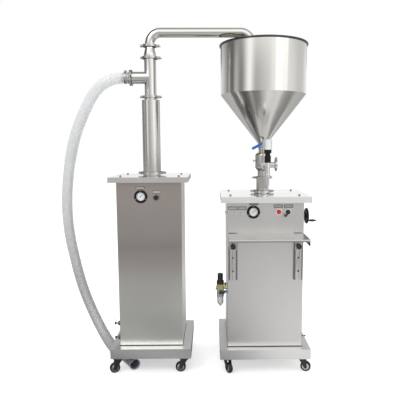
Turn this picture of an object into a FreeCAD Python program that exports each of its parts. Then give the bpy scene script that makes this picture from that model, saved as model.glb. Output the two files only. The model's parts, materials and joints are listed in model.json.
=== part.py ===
import FreeCAD, Part
import math
import os

# Hopper filling machine: a feed pump on a cabinet, and a piston filler under a hopper on a second cabinet.
# A clear suction hose enters the pump's tee and a bent pipe carries the product over the hopper's rim.
# Millimetres. +X runs from the pump to the filler, +Y to the back, +Z up from the floor.
# The origin is on the floor, midway between the upright axes of the two units.

Vector = FreeCAD.Vector
up = Vector(0, 0, 1)

# Layout
unit_spacing = 554.0
running_gap = 0.3
shaft_gap = 0.1

# Castors
wheel_radius = 25.0
wheel_width = 18.0
tyre_thickness = 8.0
axle_radius = 4.0
castor_height = 76.0
castor_lead = 18.0
castor_inset = 34.0
pump_castor_inset = 24.0
filler_castor_inset = 40.0
castor_plate_side = 46.0
castor_plate_thickness = 3.0
fork_sheet = 2.5
fork_side_gap = 1.5
fork_crown_drop = 9.0
fork_race_radius = 18.0
kingpin_radius = 5.0

# Base trays
tray_height = 48.0
tray_sheet = 2.0
tray_flange = 70.0
pump_tray_width = 390.0
pump_tray_depth = 366.0
filler_tray_width = 436.0
filler_tray_depth = 400.0

# Cabinets and their lids
cabinet_sheet = 1.5
cabinet_flange = 18.0
cover_sheet = 2.0
cover_margin = 4.0
lid_sheet = 3.0
lid_lip = 10.0
lid_screw_inset_x = 47.0
lid_screw_inset_y = 75.0
pump_cabinet_width = 308.0
pump_cabinet_depth = 280.0
pump_lid_top = 955.0
pump_lid_height = 25.0
pump_lid_width = 374.0
pump_lid_depth = 346.0
filler_cabinet_width = 362.0
filler_cabinet_depth = 323.0
filler_lid_top = 863.0
filler_lid_height = 28.0
filler_lid_width = 425.0
filler_lid_depth = 386.0

# Sanitary pipes, ferrules and clamps
pipe_wall = 1.5
feed_pipe_radius = 22.5
feed_ferrule_radius = 27.5
tee_pipe_radius = 28.5
tee_ferrule_radius = 32.0
ferrule_thickness = 3.2
clamp_wall = 6.0
clamp_lip = 2.5
clamp_grip = 3.0
clamp_split = 2.0
clamp_ear = 7.0
clamp_knuckle = 4.5
clamp_pin_radius = 2.0
clamp_bolt_radius = 3.0

# Pump column, tee and discharge pipe
column_radius = 43.5
column_wall = 2.5
column_ferrule_radius = 49.0
column_ferrule_thickness = 4.0
column_stub_height = 8.0
column_top = 1325.0
tee_bottom = 1340.0
tee_branch_z = 1432.0
tee_branch_reach = 95.0
tee_top = 1527.0
reducer_length = 57.0
reducer_top = tee_top + reducer_length
discharge_rise = 62.0
discharge_axis_z = reducer_top + discharge_rise
discharge_bend = 54.0
discharge_drop_x = 218.0
discharge_end_z = 1520.0
poppet_thickness = 4.0
poppet_guide = 20.0
suction_guide = 11.0
poppet_lap = 2.5

# Air cylinders and pistons
pump_stroke = 240.0
pump_bore_radius = 31.5
filler_stroke = 42.0
filler_bore_radius = 25.0
air_tube_wall = 3.0
air_cap_side_margin = 4.0
air_cap_height = 26.0
air_piston_thickness = 18.0
air_end_space = 6.0
tie_rod_radius = 4.0
pump_rod_radius = 10.0
filler_rod_radius = 8.0
product_piston_thickness = 24.0
product_piston_lift = 3.0
seal_groove = 2.0

# Hopper and the filler's valves
hopper_radius = 209.0
hopper_wall = 2.0
hopper_rim_z = 1586.0
hopper_rim_bead = 4.2
hopper_kink_z = 1347.0
hopper_outlet_radius = 24.0
hopper_outlet_z = 1112.0
ball_valve_z = 1096.0
ball_valve_bottom = 1065.0
ball_valve_radius = 23.0
ball_radius = 14.5
valve_bore_radius = 10.0
lever_length = 51.0
lever_rise = 16.0
lever_reach_y = 52.0
lever_tilt = 27.0
valve_body_bottom = 980.0
valve_body_radius = 36.0
valve_body_wall = 4.0
valve_neck_radius = 24.0
product_clamp_z = 941.0
product_tube_radius = 30.0
product_tube_wall = 2.5
product_ferrule_radius = 30.0
base_ferrule_radius = 38.5
side_port_z = 1004.0
side_port_radius = 14.0
side_port_face = 68.0
side_ferrule_radius = 18.0

# Nozzle column in front of the lid
nozzle_y = -210.0
nozzle_tip_z = 892.0
nozzle_tip_radius = 5.5
nozzle_tip_length = 22.0
nozzle_low_radius = 9.0
nozzle_ring_z = 950.0
nozzle_ring_radius = 14.0
nozzle_ring_height = 22.0
nozzle_body_radius = 11.5
nozzle_body_top = 1023.0
nozzle_bore_radius = 4.0
actuator_body_radius = 14.7
actuator_neck_z = 1053.0
actuator_flange_z = 1067.0
actuator_flange_radius = 17.0
actuator_barrel_z = 1082.0
actuator_barrel_radius = 19.5
actuator_top = 1128.0
feed_tube_z = 1000.0
feed_tube_radius = 11.0
feed_nut_across = 30.0
feed_nut_height = 12.0

# Bottle tray and its rails
shelf_z = 687.0
shelf_depth = 152.0
shelf_sheet = 2.0
shelf_front_lip = 12.0
shelf_side_lip = 31.0
rail_width = 41.0
rail_depth = 12.0
rail_sheet = 2.0
rail_bottom = 462.0
rail_top = 680.0
rail_inset = 5.0
rail_holes = (627.0, 571.0, 505.0)
rail_hole_radius = 4.5
shelf_knob_radius = 12.5

# Panel controls
gauge_radius = 31.5
gauge_depth = 30.0
pump_gauge_x = -38.0
pump_gauge_z = 862.0
pump_knob_x = 35.0
pump_knob_z = 858.0
filler_panel_z = 789.0
filler_gauge_x = -59.0
button_x = 61.0
button_radius = 11.0
button_travel = 4.0
selector_x = 104.0
selector_radius = 11.0
flow_knob_xs = (-142.0, -111.0)
flow_knob_z = 784.0
flow_knob_radius = 6.5
bezel_radius = 14.5
bezel_thickness = 3.0

# Handwheel and stroke stop
handwheel_z = 751.0
handwheel_y = -40.0
handwheel_radius = 40.0
handwheel_rim = 6.0
handwheel_standoff = 37.0
spindle_radius = 6.0
spindle_inside = 150.0
grip_radius = 5.5
grip_angle = 56.0
grip_length = 30.0
stop_side = 30.0
stop_thickness = 24.0
stop_rest = 45.0

# Air filter and regulator
regulator_x_gap = 33.0
regulator_y = -50.0
bowl_bottom = 291.0
bowl_top = 343.0
bowl_radius = 16.5
bowl_wall = 2.0
regulator_collar_top = 380.0
regulator_block_top = 407.0
regulator_block_side = 36.0
regulator_bonnet_top = 423.0
regulator_bonnet_radius = 18.5
regulator_knob_top = 461.0
regulator_knob_radius = 14.0
port_radius = 6.6
port_depth = 12.0

# Suction hose
hose_radius = 27.0
hose_bore_radius = 22.5
barb_length = 9.0
spigot_length = 35.0
hose_route = [
    (-384, 0, 1432), (-436, 0, 1432), (-488, 1, 1417), (-533, 4, 1387), (-571, 10, 1342),
    (-617, 22, 1262), (-669, 38, 1150), (-704, 58, 1025), (-730, 80, 895), (-744, 103, 763),
    (-743, 127, 630), (-728, 150, 500), (-709, 168, 380), (-682, 177, 275), (-645, 172, 183),
    (-600, 144, 107), (-551, 92, 57), (-496, 22, 33), (-439, -38, 29), (-392, -89, 29),
    (-361, -147, 31),
]

pump_x = -unit_spacing / 2
filler_x = unit_spacing / 2
tray_top = castor_height + tray_height


# Shape helpers

def block(x0, x1, y0, y1, z0, z1):
    return Part.makeBox(x1 - x0, y1 - y0, z1 - z0, Vector(x0, y0, z0))


def rod(start, end, radius):
    a, b = Vector(*start), Vector(*end)
    return Part.makeCylinder(radius, (b - a).Length, a, b - a)


def cone(start, end, radius_start, radius_end):
    a, b = Vector(*start), Vector(*end)
    return Part.makeCone(radius_start, radius_end, (b - a).Length, a, b - a)


def ring(start, end, outer, inner):
    return rod(start, end, outer).cut(rod(start, end, inner))


def fuse(shapes):
    return shapes[0].multiFuse(shapes[1:]).removeSplitter()


def cut(shape, tools):
    for tool in tools:
        shape = shape.cut(tool)
    return shape


def turned(profile, x=0.0, y=0.0, z=0.0):
    """Solid turned about the upright line through (x, y) from (radius, height) points."""
    points = [Vector(r, 0, h) for r, h in profile]
    wire = Part.makePolygon(points + [points[0]])
    solid = Part.Face(wire).revolve(Vector(0, 0, 0), up, 360)
    solid.translate(Vector(x, y, z))
    return solid


def aim(shape, origin, direction, spin=0.0):
    """Turns a shape made along +Z at the origin so that it points along direction from origin."""
    placed = shape.copy()
    tilt = FreeCAD.Rotation(up, Vector(*direction))
    roll = FreeCAD.Rotation(up, spin)
    placed.Placement = FreeCAD.Placement(Vector(*origin), tilt.multiply(roll)).multiply(placed.Placement)
    return placed


def upright_edges(shape):
    found = []
    for edge in shape.Edges:
        ends = [v.Point for v in edge.Vertexes]
        if len(ends) == 2 and (ends[0] - ends[1]).Length > 1 and (ends[0] - ends[1]).cross(up).Length < 0.01:
            found.append(edge)
    return found


def rounded_block(x0, x1, y0, y1, z0, z1, radius):
    shape = block(x0, x1, y0, y1, z0, z1)
    return shape.makeFillet(radius, upright_edges(shape))


def hexagon(across, height):
    corner = across / math.sqrt(3)
    points = [Vector(corner * math.cos(math.radians(a)), corner * math.sin(math.radians(a)), 0)
              for a in range(0, 420, 60)]
    return Part.Face(Part.makePolygon(points)).extrude(up * height)


def save(name, solids):
    shape = solids[0] if len(solids) == 1 else Part.Compound(solids)
    found = len(shape.Solids)
    state = "ok" if shape.isValid() and found >= len(solids) else "CHECK"
    print(f"{name:26s} solids {found:2d} volume {shape.Volume / 1000:9.1f} cm3 {state}")
    shape.exportStep(f"parts/{name}.step")


# Hardware that repeats

def cap_screw(head_radius, head_height, shank_radius, shank_length):
    """Socket head screw along +Z: its head starts at the origin and its shank runs to -Z."""
    head = rod((0, 0, 0), (0, 0, head_height), head_radius)
    socket = hexagon(head_radius, head_height)
    socket.translate(Vector(0, 0, head_height * 0.45))
    shank = rod((0, 0, -shank_length), (0, 0, 0), shank_radius)
    return fuse([head, shank]).cut(socket)


def hinge_leaves(side, hinge_x, ring_radius, half_height):
    """Knuckles and arms of one half ring: the middle one, or the two outer ones."""
    third = half_height / 3
    spans = [(-third, third)]
    if side < 0:
        spans = [(-half_height, -third - running_gap), (third + running_gap, half_height)]
    arm_low, arm_high = sorted((0.0, side * clamp_knuckle))
    leaves = []
    for low, high in spans:
        leaves.append(rod((hinge_x, 0, low), (hinge_x, 0, high), clamp_knuckle))
        leaves.append(block(hinge_x, 3 - ring_radius, arm_low, arm_high, low, high))
    return leaves


def wing_bolt(x):
    """Bolt along Y through a pair of clamp ears, with its wing nut."""
    bolt = fuse([rod((x, -11, 0), (x, 19, 0), clamp_bolt_radius),
                 aim(hexagon(9, 5), (x, -clamp_ear, 0), (0, -1, 0))])
    hub = cone((x, clamp_ear, 0), (x, 14, 0), 6.0, 4.5)
    wings = [block(x + 3, x + 11, 9, 17, -1.5, 1.5), block(x - 11, x - 3, 9, 17, -1.5, 1.5)]
    nut = fuse([hub] + wings).cut(rod((x, 0, 0), (x, 30, 0), clamp_bolt_radius))
    return [bolt, nut]


def pipe_clamp(origin, direction, ferrule_radius, thickness, spin=0.0, bolts=2, gap=0.0, grip=None):
    """Two half rings round a pair of ferrules, drawn together by two wing bolts or by one and a hinge."""
    ring_radius = ferrule_radius + clamp_wall
    half_height = thickness + clamp_lip
    inner = ferrule_radius - (clamp_grip if grip is None else grip)
    reach = ring_radius * 3
    ear_x = ring_radius + clamp_ear
    hinge_x = -(ring_radius + clamp_knuckle)
    cuts = [rod((0, 0, -half_height), (0, 0, half_height), inner),
            rod((0, 0, -thickness - gap), (0, 0, thickness + gap), ferrule_radius + gap)]
    ears = (1, -1) if bolts == 2 else (1,)
    pieces = []
    for ear in ears:
        cuts.append(rod((ear * ear_x, -reach, 0), (ear * ear_x, reach, 0), clamp_bolt_radius + running_gap))
        pieces += wing_bolt(ear * ear_x)
    if bolts == 1:
        pin = rod((hinge_x, 0, -half_height), (hinge_x, 0, half_height), clamp_pin_radius)
        pieces.append(pin)
        cuts.append(pin)
    whole = rod((0, 0, -half_height), (0, 0, half_height), ring_radius)
    for side in (1, -1):
        y_low, y_high = sorted((side * clamp_split / 2, side * reach))
        ear_low, ear_high = sorted((side * clamp_split / 2, side * clamp_ear))
        parts = [whole.common(block(-reach, reach, y_low, y_high, -half_height, half_height))]
        for ear in ears:
            x_low, x_high = sorted((ear * (ring_radius - 3), ear * (ear_x + 5)))
            parts.append(block(x_low, x_high, ear_low, ear_high, -half_height, half_height))
        if bolts == 1:
            parts += hinge_leaves(side, hinge_x, ring_radius, half_height)
        pieces.append(cut(fuse(parts), cuts))
    return [aim(piece, origin, direction, spin) for piece in pieces]


def base_tray(x, width, depth):
    """Inverted sheet pan with a flange turned in round its foot for the castor plates."""
    half_w, half_d = width / 2, depth / 2
    outer = rounded_block(x - half_w, x + half_w, -half_d, half_d, castor_height, tray_top, 3.0)
    t = tray_sheet
    inner = block(x - half_w + t, x + half_w - t, -half_d + t, half_d - t, castor_height + t, tray_top - t)
    window = block(x - half_w + tray_flange, x + half_w - tray_flange, -half_d + tray_flange,
                   half_d - tray_flange, castor_height, castor_height + tray_sheet)
    return cut(outer, [inner, window])


def castor_axes(x, width, depth, inset):
    """Swivel axes of the front left, front right, rear left and rear right castors."""
    reach_x, reach_y = width / 2 - castor_inset, depth / 2 - inset
    return [(x - reach_x, -reach_y), (x + reach_x, -reach_y), (x - reach_x, reach_y), (x + reach_x, reach_y)]


fork_top = castor_height - castor_plate_thickness - running_gap


def castor_plate(x, y):
    half = castor_plate_side / 2
    return rounded_block(x - half, x + half, y - half, y + half, castor_height - castor_plate_thickness,
                         castor_height, 5.0)


def kingpin(x, y):
    """Swivel pin under the plate with the head that carries the fork."""
    low = fork_top - fork_crown_drop
    stem = rod((x, y, low - 3), (x, y, castor_height - castor_plate_thickness), kingpin_radius)
    return fuse([stem, rod((x, y, low - 3), (x, y, low - running_gap), kingpin_radius + 4)])


def plate_bolts(x, y):
    """Four hexagon heads under a castor plate."""
    reach = castor_plate_side / 2 - 6.5
    low = castor_height - castor_plate_thickness
    return [aim(hexagon(8, 3), (x + sx * reach, y + sy * reach, low), (0, 0, -1))
            for sx in (-1, 1) for sy in (-1, 1)]


def fork_solids(top, bored):
    """Fork pointing along +X from a swivel axis at the origin, with its fixed axle."""
    inside = wheel_width / 2 + fork_side_gap
    crown_low = top - fork_crown_drop
    race = rod((0, 0, crown_low + 3), (0, 0, top), fork_race_radius)
    crown = block(-17, 19, -inside - fork_sheet, inside + fork_sheet, crown_low, crown_low + 3)
    lead, mid = castor_lead, wheel_radius
    profile = [(-17, crown_low + 3), (19, crown_low + 3), (lead + 7, mid + 5), (lead + 7, mid - 4),
               (lead + 3, mid - 8), (lead - 3, mid - 8), (lead - 7, mid - 3)]
    cheeks = []
    for y in (-inside - fork_sheet, inside):
        wire = Part.makePolygon([Vector(px, y, pz) for px, pz in profile + [profile[0]]])
        cheeks.append(Part.Face(wire).extrude(Vector(0, fork_sheet, 0)))
    fork = fuse([race, crown] + cheeks)
    if bored:
        fork = fork.cut(rod((0, 0, crown_low), (0, 0, top), kingpin_radius + shaft_gap))
    axle_end = inside + fork_sheet + 2.5
    axle = rod((castor_lead, -axle_end, wheel_radius), (castor_lead, axle_end, wheel_radius), axle_radius)
    fork = fork.cut(axle)
    return [fork, axle]


def wheel_solids():
    """Tyre and hub about the Y line through the axle, in the frame of an unturned fork."""
    half = wheel_width / 2
    hub_radius = wheel_radius - tyre_thickness
    shoulder = 3.0
    tyre = turned([(hub_radius, -half), (wheel_radius - shoulder, -half), (wheel_radius, -half + shoulder),
                   (wheel_radius, half - shoulder), (wheel_radius - shoulder, half), (hub_radius, half)])
    bore = axle_radius + shaft_gap
    web = half - 3.5
    hub = turned([(bore, -half), (bore + 4, -half), (bore + 5, -web), (hub_radius - 3, -web),
                  (hub_radius - 2, -half + 1), (hub_radius, -half + 1), (hub_radius, half - 1),
                  (hub_radius - 2, half - 1), (hub_radius - 3, web), (bore + 5, web), (bore + 4, half),
                  (bore, half)])
    return [aim(solid, (castor_lead, 0, wheel_radius), (0, 1, 0)) for solid in (tyre, hub)]


def turned_castor(solids, axis, angle):
    placed = []
    for solid in solids:
        moved = solid.copy()
        moved.rotate(Vector(0, 0, 0), up, angle)
        moved.translate(Vector(axis[0], axis[1], 0))
        placed.append(moved)
    return placed


def castor_set(unit, x, width, depth, inset, angles):
    """Plates and rigid rear forks, two swivel forks and the wheels of one unit."""
    axes = castor_axes(x, width, depth, inset)
    fixed = [castor_plate(*axis) for axis in axes]
    for axis in axes:
        fixed += plate_bolts(*axis)
    fixed += [kingpin(*axis) for axis in axes[:2]]
    for axis in axes[2:]:
        fixed += turned_castor(fork_solids(castor_height - castor_plate_thickness, False), axis, -90)
    save(f"{unit}_castor_frames", fixed)
    for side, axis, angle in zip(("left", "right"), axes, angles):
        save(f"{unit}_fork_{side}", turned_castor(fork_solids(fork_top, True), axis, angle))
        save(f"{unit}_wheel_{side}", turned_castor(wheel_solids(), axis, angle))
    rear = []
    for axis in axes[2:]:
        rear += turned_castor(wheel_solids(), axis, -90)
    save(f"{unit}_rear_wheels", rear)


def cabinet(x, width, depth, top, cuts):
    """Sheet shell with flanges turned in at its head and foot and a framed opening at the back."""
    half_w, half_d = width / 2, depth / 2
    t, f = cabinet_sheet, cabinet_flange
    shell = rounded_block(x - half_w, x + half_w, -half_d, half_d, tray_top, top, 2.0)
    inner = block(x - half_w + t, x + half_w - t, -half_d + t, half_d - t, tray_top + t, top - t)
    ends = block(x - half_w + f, x + half_w - f, -half_d + f, half_d - f, tray_top, top)
    back = block(x - half_w + f, x + half_w - f, half_d - t, half_d, tray_top + f, top - 2 * f)
    return cut(shell, [inner, ends, back] + cuts)


def rear_cover(x, width, depth, lid_bottom):
    half_w = width / 2 - cover_margin
    return rounded_block(x - half_w, x + half_w, depth / 2, depth / 2 + cover_sheet,
                         tray_top + cover_margin, lid_bottom - cover_margin, cover_sheet / 3)


def cover_screws(x, width, depth, lid_top):
    """Round screw heads down both sides of a rear cover."""
    back = depth / 2 + cover_sheet
    reach = width / 2 - 12
    heights = (tray_top + 40, (tray_top + lid_top) / 2, lid_top - 60)
    return [rod((x + side * reach, back, z), (x + side * reach, back + 2.5, z), 4.5)
            for side in (-1, 1) for z in heights]


def lid(x, width, depth, top, height):
    half_w, half_d = width / 2, depth / 2
    t, f = lid_sheet, lid_lip
    outer = rounded_block(x - half_w, x + half_w, -half_d, half_d, top - height, top, 3.0)
    inner = block(x - half_w + t, x + half_w - t, -half_d + t, half_d - t, top - height + t, top - t)
    mouth = block(x - half_w + t + f, x + half_w - t - f, -half_d + t + f, half_d - t - f,
                  top - height, top - height + t)
    return cut(outer, [inner, mouth])


def lid_screw_places(x, width, depth):
    reach_x, reach_y = width / 2 - lid_screw_inset_x, depth / 2 - lid_screw_inset_y
    return [(x + sx * reach_x, sy * reach_y) for sx in (-1, 1) for sy in (-1, 1)]


def lid_screw_holes(places, top):
    return [rod((x, y, top - 12), (x, y, top + 1), 3.2) for x, y in places]


def air_cylinder(x, top, bore, stroke, rod_radius):
    """Bottom cap, tube, top cap and four tie rods hung under a lid whose underside is at top."""
    side = bore + air_tube_wall + air_cap_side_margin
    tube_top = top - air_cap_height
    tube_bottom = tube_top - stroke - air_piston_thickness - air_end_space
    low = tube_bottom - air_cap_height
    corner = side - tie_rod_radius - 3
    solids = []
    holes = [rod((x + sx * corner, sy * corner, low), (x + sx * corner, sy * corner, top), tie_rod_radius)
             for sx in (-1, 1) for sy in (-1, 1)]
    for z0, z1, bored in ((low, tube_bottom, False), (tube_top, top, True)):
        cap = rounded_block(x - side, x + side, -side, side, z0, z1, 5.0)
        cap = cut(cap, holes)
        if bored:
            cap = cap.cut(rod((x, 0, z0), (x, 0, z1), rod_radius + shaft_gap))
        solids.append(cap)
    solids.append(ring((x, 0, tube_bottom), (x, 0, tube_top), bore + air_tube_wall, bore))
    solids += holes
    return solids, tube_bottom


def piston_rod(x, tube_bottom, bore, rod_radius, product_radius, product_bottom):
    """Air piston, rod and product piston with its two seal grooves."""
    air_low = tube_bottom + air_end_space / 2
    air = rod((x, 0, air_low), (x, 0, air_low + air_piston_thickness), bore - running_gap)
    stem = rod((x, 0, air_low), (x, 0, product_bottom), rod_radius)
    product = rod((x, 0, product_bottom), (x, 0, product_bottom + product_piston_thickness),
                  product_radius - running_gap)
    grooves = []
    for share in (0.3, 0.7):
        z = product_bottom + product_piston_thickness * share
        grooves.append(ring((x, 0, z - 1.5), (x, 0, z + 1.5), product_radius, product_radius - seal_groove))
    return fuse([air, stem, product.cut(fuse(grooves))])


def gauge_screw_places():
    reach = gauge_radius - 4.2
    return [(reach * math.cos(math.radians(a)), reach * math.sin(math.radians(a))) for a in (90, 210, 330)]


def gauge_solids(x, y_face, z):
    """Panel gauge facing -Y: flanged case, dial, needle, lens and three screws."""
    outer = gauge_radius
    dial_radius = outer - 12.0
    lens_radius = dial_radius + 0.5
    case = turned([(0, -gauge_depth), (outer - 7, -gauge_depth), (outer - 7, 0), (outer, 0), (outer, 3.0),
                   (outer - 2, 4.5), (dial_radius + 3, 5.5), (lens_radius, 5.5), (lens_radius, 1.0),
                   (0, 1.0)])
    dial = rod((0, 0, 1.0), (0, 0, 2.0), lens_radius)
    needle = fuse([block(-0.6, 0.6, -4.0, dial_radius - 5, 2.0, 2.6), rod((0, 0, 2.0), (0, 0, 3.2), 2.0)])
    needle.rotate(Vector(0, 0, 0), up, -45)
    lens = rod((0, 0, 4.0), (0, 0, 5.0), lens_radius)
    screws = []
    for cx, cy in gauge_screw_places():
        screws.append(fuse([rod((cx, cy, 3.6), (cx, cy, 5.4), 2.6), rod((cx, cy, -5), (cx, cy, 3.6), 1.5)]))
        case = cut(case, [rod((cx, cy, -5), (cx, cy, 6), 1.5), rod((cx, cy, 3.6), (cx, cy, 7), 2.6)])
    return [aim(solid, (x, y_face, z), (0, -1, 0)) for solid in [case, dial, needle, lens] + screws]


def gauge_holes(x, y_face, z):
    holes = [rod((0, 0, -5), (0, 0, 1), gauge_radius - 7 + running_gap)]
    holes += [rod((cx, cy, -5), (cx, cy, 1), 1.5) for cx, cy in gauge_screw_places()]
    return [aim(hole, (x, y_face, z), (0, -1, 0)) for hole in holes]


def poppet(radius, guide_radius, guide_length):
    """Check valve disc on two crossed guide fins, closing downwards at the origin."""
    disc = rod((0, 0, 0), (0, 0, poppet_thickness), radius)
    half = guide_radius - running_gap
    fins = [block(-half, half, -1, 1, -guide_length, 0), block(-1, 1, -half, half, -guide_length, 0)]
    guide = fuse(fins).common(rod((0, 0, -guide_length), (0, 0, 0), half))
    return fuse([disc, guide])


def push_fitting(start, direction, collar_radius, length):
    """Push-in air fitting: hexagon, round collar and a plug on a thin neck."""
    base = hexagon(collar_radius * 1.8, 4.0)
    collar = rod((0, 0, 4), (0, 0, length), collar_radius)
    neck = rod((0, 0, length), (0, 0, length + 11), collar_radius * 0.3)
    stub = fuse([neck, rod((0, 0, length + 11), (0, 0, length + 17), collar_radius * 0.62)])
    shank = rod((0, 0, -6), (0, 0, 0), collar_radius * 0.55)
    return [aim(solid, start, direction) for solid in (fuse([base, collar, shank]), stub)]


# Pump unit

pump_front = -pump_cabinet_depth / 2
pump_under_lid = pump_lid_top - lid_sheet
column_joint = pump_lid_top + column_stub_height + column_ferrule_thickness
pump_screws = lid_screw_places(pump_x, pump_lid_width, pump_lid_depth)
seat_bore = tee_pipe_radius - pipe_wall - 7.0


def pump_fitting_places():
    return [(-110.0, 228.0), (-110.0, 155.0)]


def build_pump_casing():
    save("pump_base_tray", [base_tray(pump_x, pump_tray_width, pump_tray_depth)])
    side = pump_x - pump_cabinet_width / 2
    knob_x = pump_x + pump_knob_x
    cuts = gauge_holes(pump_x + pump_gauge_x, pump_front, pump_gauge_z)
    cuts.append(rod((knob_x, pump_front - 1, pump_knob_z), (knob_x, pump_front + 5, pump_knob_z), 6.0))
    for y, z in pump_fitting_places():
        cuts.append(rod((side - 1, y, z), (side + 5, y, z), 7.0))
    cuts += lid_screw_holes(pump_screws, pump_lid_top)
    save("pump_cabinet", [cabinet(pump_x, pump_cabinet_width, pump_cabinet_depth, pump_under_lid, cuts)])
    save("pump_rear_cover", [rear_cover(pump_x, pump_cabinet_width, pump_cabinet_depth,
                                        pump_lid_top - pump_lid_height)])
    plate = lid(pump_x, pump_lid_width, pump_lid_depth, pump_lid_top, pump_lid_height)
    stub = rod((pump_x, 0, pump_lid_top), (pump_x, 0, column_joint), column_radius)
    rim = rod((pump_x, 0, column_joint - column_ferrule_thickness), (pump_x, 0, column_joint),
              column_ferrule_radius)
    holes = [rod((pump_x, 0, pump_under_lid - 1), (pump_x, 0, column_joint + 1),
                 pump_rod_radius + shaft_gap)]
    holes += lid_screw_holes(pump_screws, pump_lid_top)
    save("pump_top_plate", [cut(fuse([plate, stub, rim]), holes)])


def build_pump_drive():
    solids, tube_bottom = air_cylinder(pump_x, pump_under_lid, pump_bore_radius, pump_stroke,
                                       pump_rod_radius)
    save("pump_air_cylinder", solids)
    save("pump_piston", [piston_rod(pump_x, tube_bottom, pump_bore_radius, pump_rod_radius,
                                    column_radius - column_wall, column_joint + product_piston_lift)])


def build_pump_column():
    r, w = column_radius, column_wall
    neck, neck_wall = tee_pipe_radius, pipe_wall
    flange = column_ferrule_radius
    bottom = column_joint
    column = turned([(r - w, bottom), (flange, bottom), (flange, bottom + column_ferrule_thickness),
                     (r, bottom + column_ferrule_thickness), (r, column_top - 2), (r - 2, column_top),
                     (neck, column_top), (neck, tee_bottom - ferrule_thickness),
                     (tee_ferrule_radius, tee_bottom - ferrule_thickness), (tee_ferrule_radius, tee_bottom),
                     (neck - neck_wall, tee_bottom), (neck - neck_wall, column_top - 4),
                     (r - w, column_top - 4)], pump_x)
    save("pump_column", [column])


def build_tee():
    x = pump_x
    outer, inner = tee_pipe_radius, tee_pipe_radius - pipe_wall
    face = x - tee_branch_reach
    run = rod((x, 0, tee_bottom), (x, 0, tee_top), outer)
    branch = rod((face, 0, tee_branch_z), (x, 0, tee_branch_z), outer)
    rims = [rod((x, 0, tee_bottom), (x, 0, tee_bottom + ferrule_thickness), tee_ferrule_radius),
            rod((x, 0, tee_top - ferrule_thickness), (x, 0, tee_top), tee_ferrule_radius),
            rod((face, 0, tee_branch_z), (face + ferrule_thickness, 0, tee_branch_z), tee_ferrule_radius)]
    body = fuse([run, branch] + rims)
    seat = ring((x, 0, tee_top - 6), (x, 0, tee_top), inner + 0.5, seat_bore)
    bores = [rod((x, 0, tee_bottom - 1), (x, 0, tee_top + 1), inner),
             rod((face - 1, 0, tee_branch_z), (x, 0, tee_branch_z), inner)]
    save("pump_tee", [fuse([cut(body, bores), seat])])
    valve = poppet(seat_bore + poppet_lap, seat_bore, poppet_guide)
    save("pump_outlet_poppet", [aim(valve, (x, 0, tee_top + running_gap), (0, 0, 1))])
    save("pump_inlet_poppet", [aim(valve, (face + running_gap, 0, tee_branch_z), (1, 0, 0))])


def build_reducer():
    low, high = tee_pipe_radius, feed_pipe_radius
    w = pipe_wall
    low_rim = tee_top + ferrule_thickness
    high_rim = reducer_top - ferrule_thickness
    straight = tee_top + 18.0
    narrow = reducer_top - 12.0
    body = turned([(low - w, tee_top), (tee_ferrule_radius, tee_top), (tee_ferrule_radius, low_rim),
                   (low, low_rim), (low, straight), (high, narrow), (high, high_rim),
                   (feed_ferrule_radius, high_rim), (feed_ferrule_radius, reducer_top),
                   (high - w, reducer_top), (high - w, narrow), (low - w, straight)], pump_x)
    save("pump_reducer", [body])


def swept(path, radius):
    start = path.Edges[0].Vertexes[0].Point
    tangent = path.Edges[0].tangentAt(path.Edges[0].FirstParameter)
    circle = Part.Wire([Part.makeCircle(radius, start, tangent)])
    return path.makePipeShell([circle], True, False)


def rounded_path(points, radii):
    """Straight runs through points, joined at each inner point by an arc of the given radius."""
    edges = []
    here = points[0]
    for index in range(1, len(points) - 1):
        corner = points[index]
        back = (points[index - 1] - corner).normalize()
        ahead = (points[index + 1] - corner).normalize()
        half_turn = (math.pi - back.getAngle(ahead)) / 2
        tangent = radii[index - 1] * math.tan(half_turn)
        start, end = corner + back * tangent, corner + ahead * tangent
        bow = radii[index - 1] / math.cos(half_turn) - radii[index - 1]
        middle = corner + (back + ahead).normalize() * bow
        edges.append(Part.LineSegment(here, start).toShape())
        edges.append(Part.Arc(start, middle, end).toShape())
        here = end
    edges.append(Part.LineSegment(here, points[-1]).toShape())
    return Part.Wire(edges)


def build_discharge_pipe():
    """Bent pipe that turns in the top clamp and hangs its mouth over the hopper's rim."""
    corners = [Vector(pump_x, 0, reducer_top), Vector(pump_x, 0, discharge_axis_z),
               Vector(discharge_drop_x, 0, discharge_axis_z), Vector(discharge_drop_x, 0, discharge_end_z)]
    path = rounded_path(corners, [discharge_bend] * 2)
    foot = reducer_top + running_gap
    rim = rod((pump_x, 0, foot), (pump_x, 0, reducer_top + ferrule_thickness), feed_ferrule_radius)
    below = rod((pump_x, 0, reducer_top - 1), (pump_x, 0, foot), feed_ferrule_radius)
    pipe = fuse([swept(path, feed_pipe_radius), rim])
    save("discharge_pipe", [cut(pipe, [swept(path, feed_pipe_radius - pipe_wall), below])])


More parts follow.
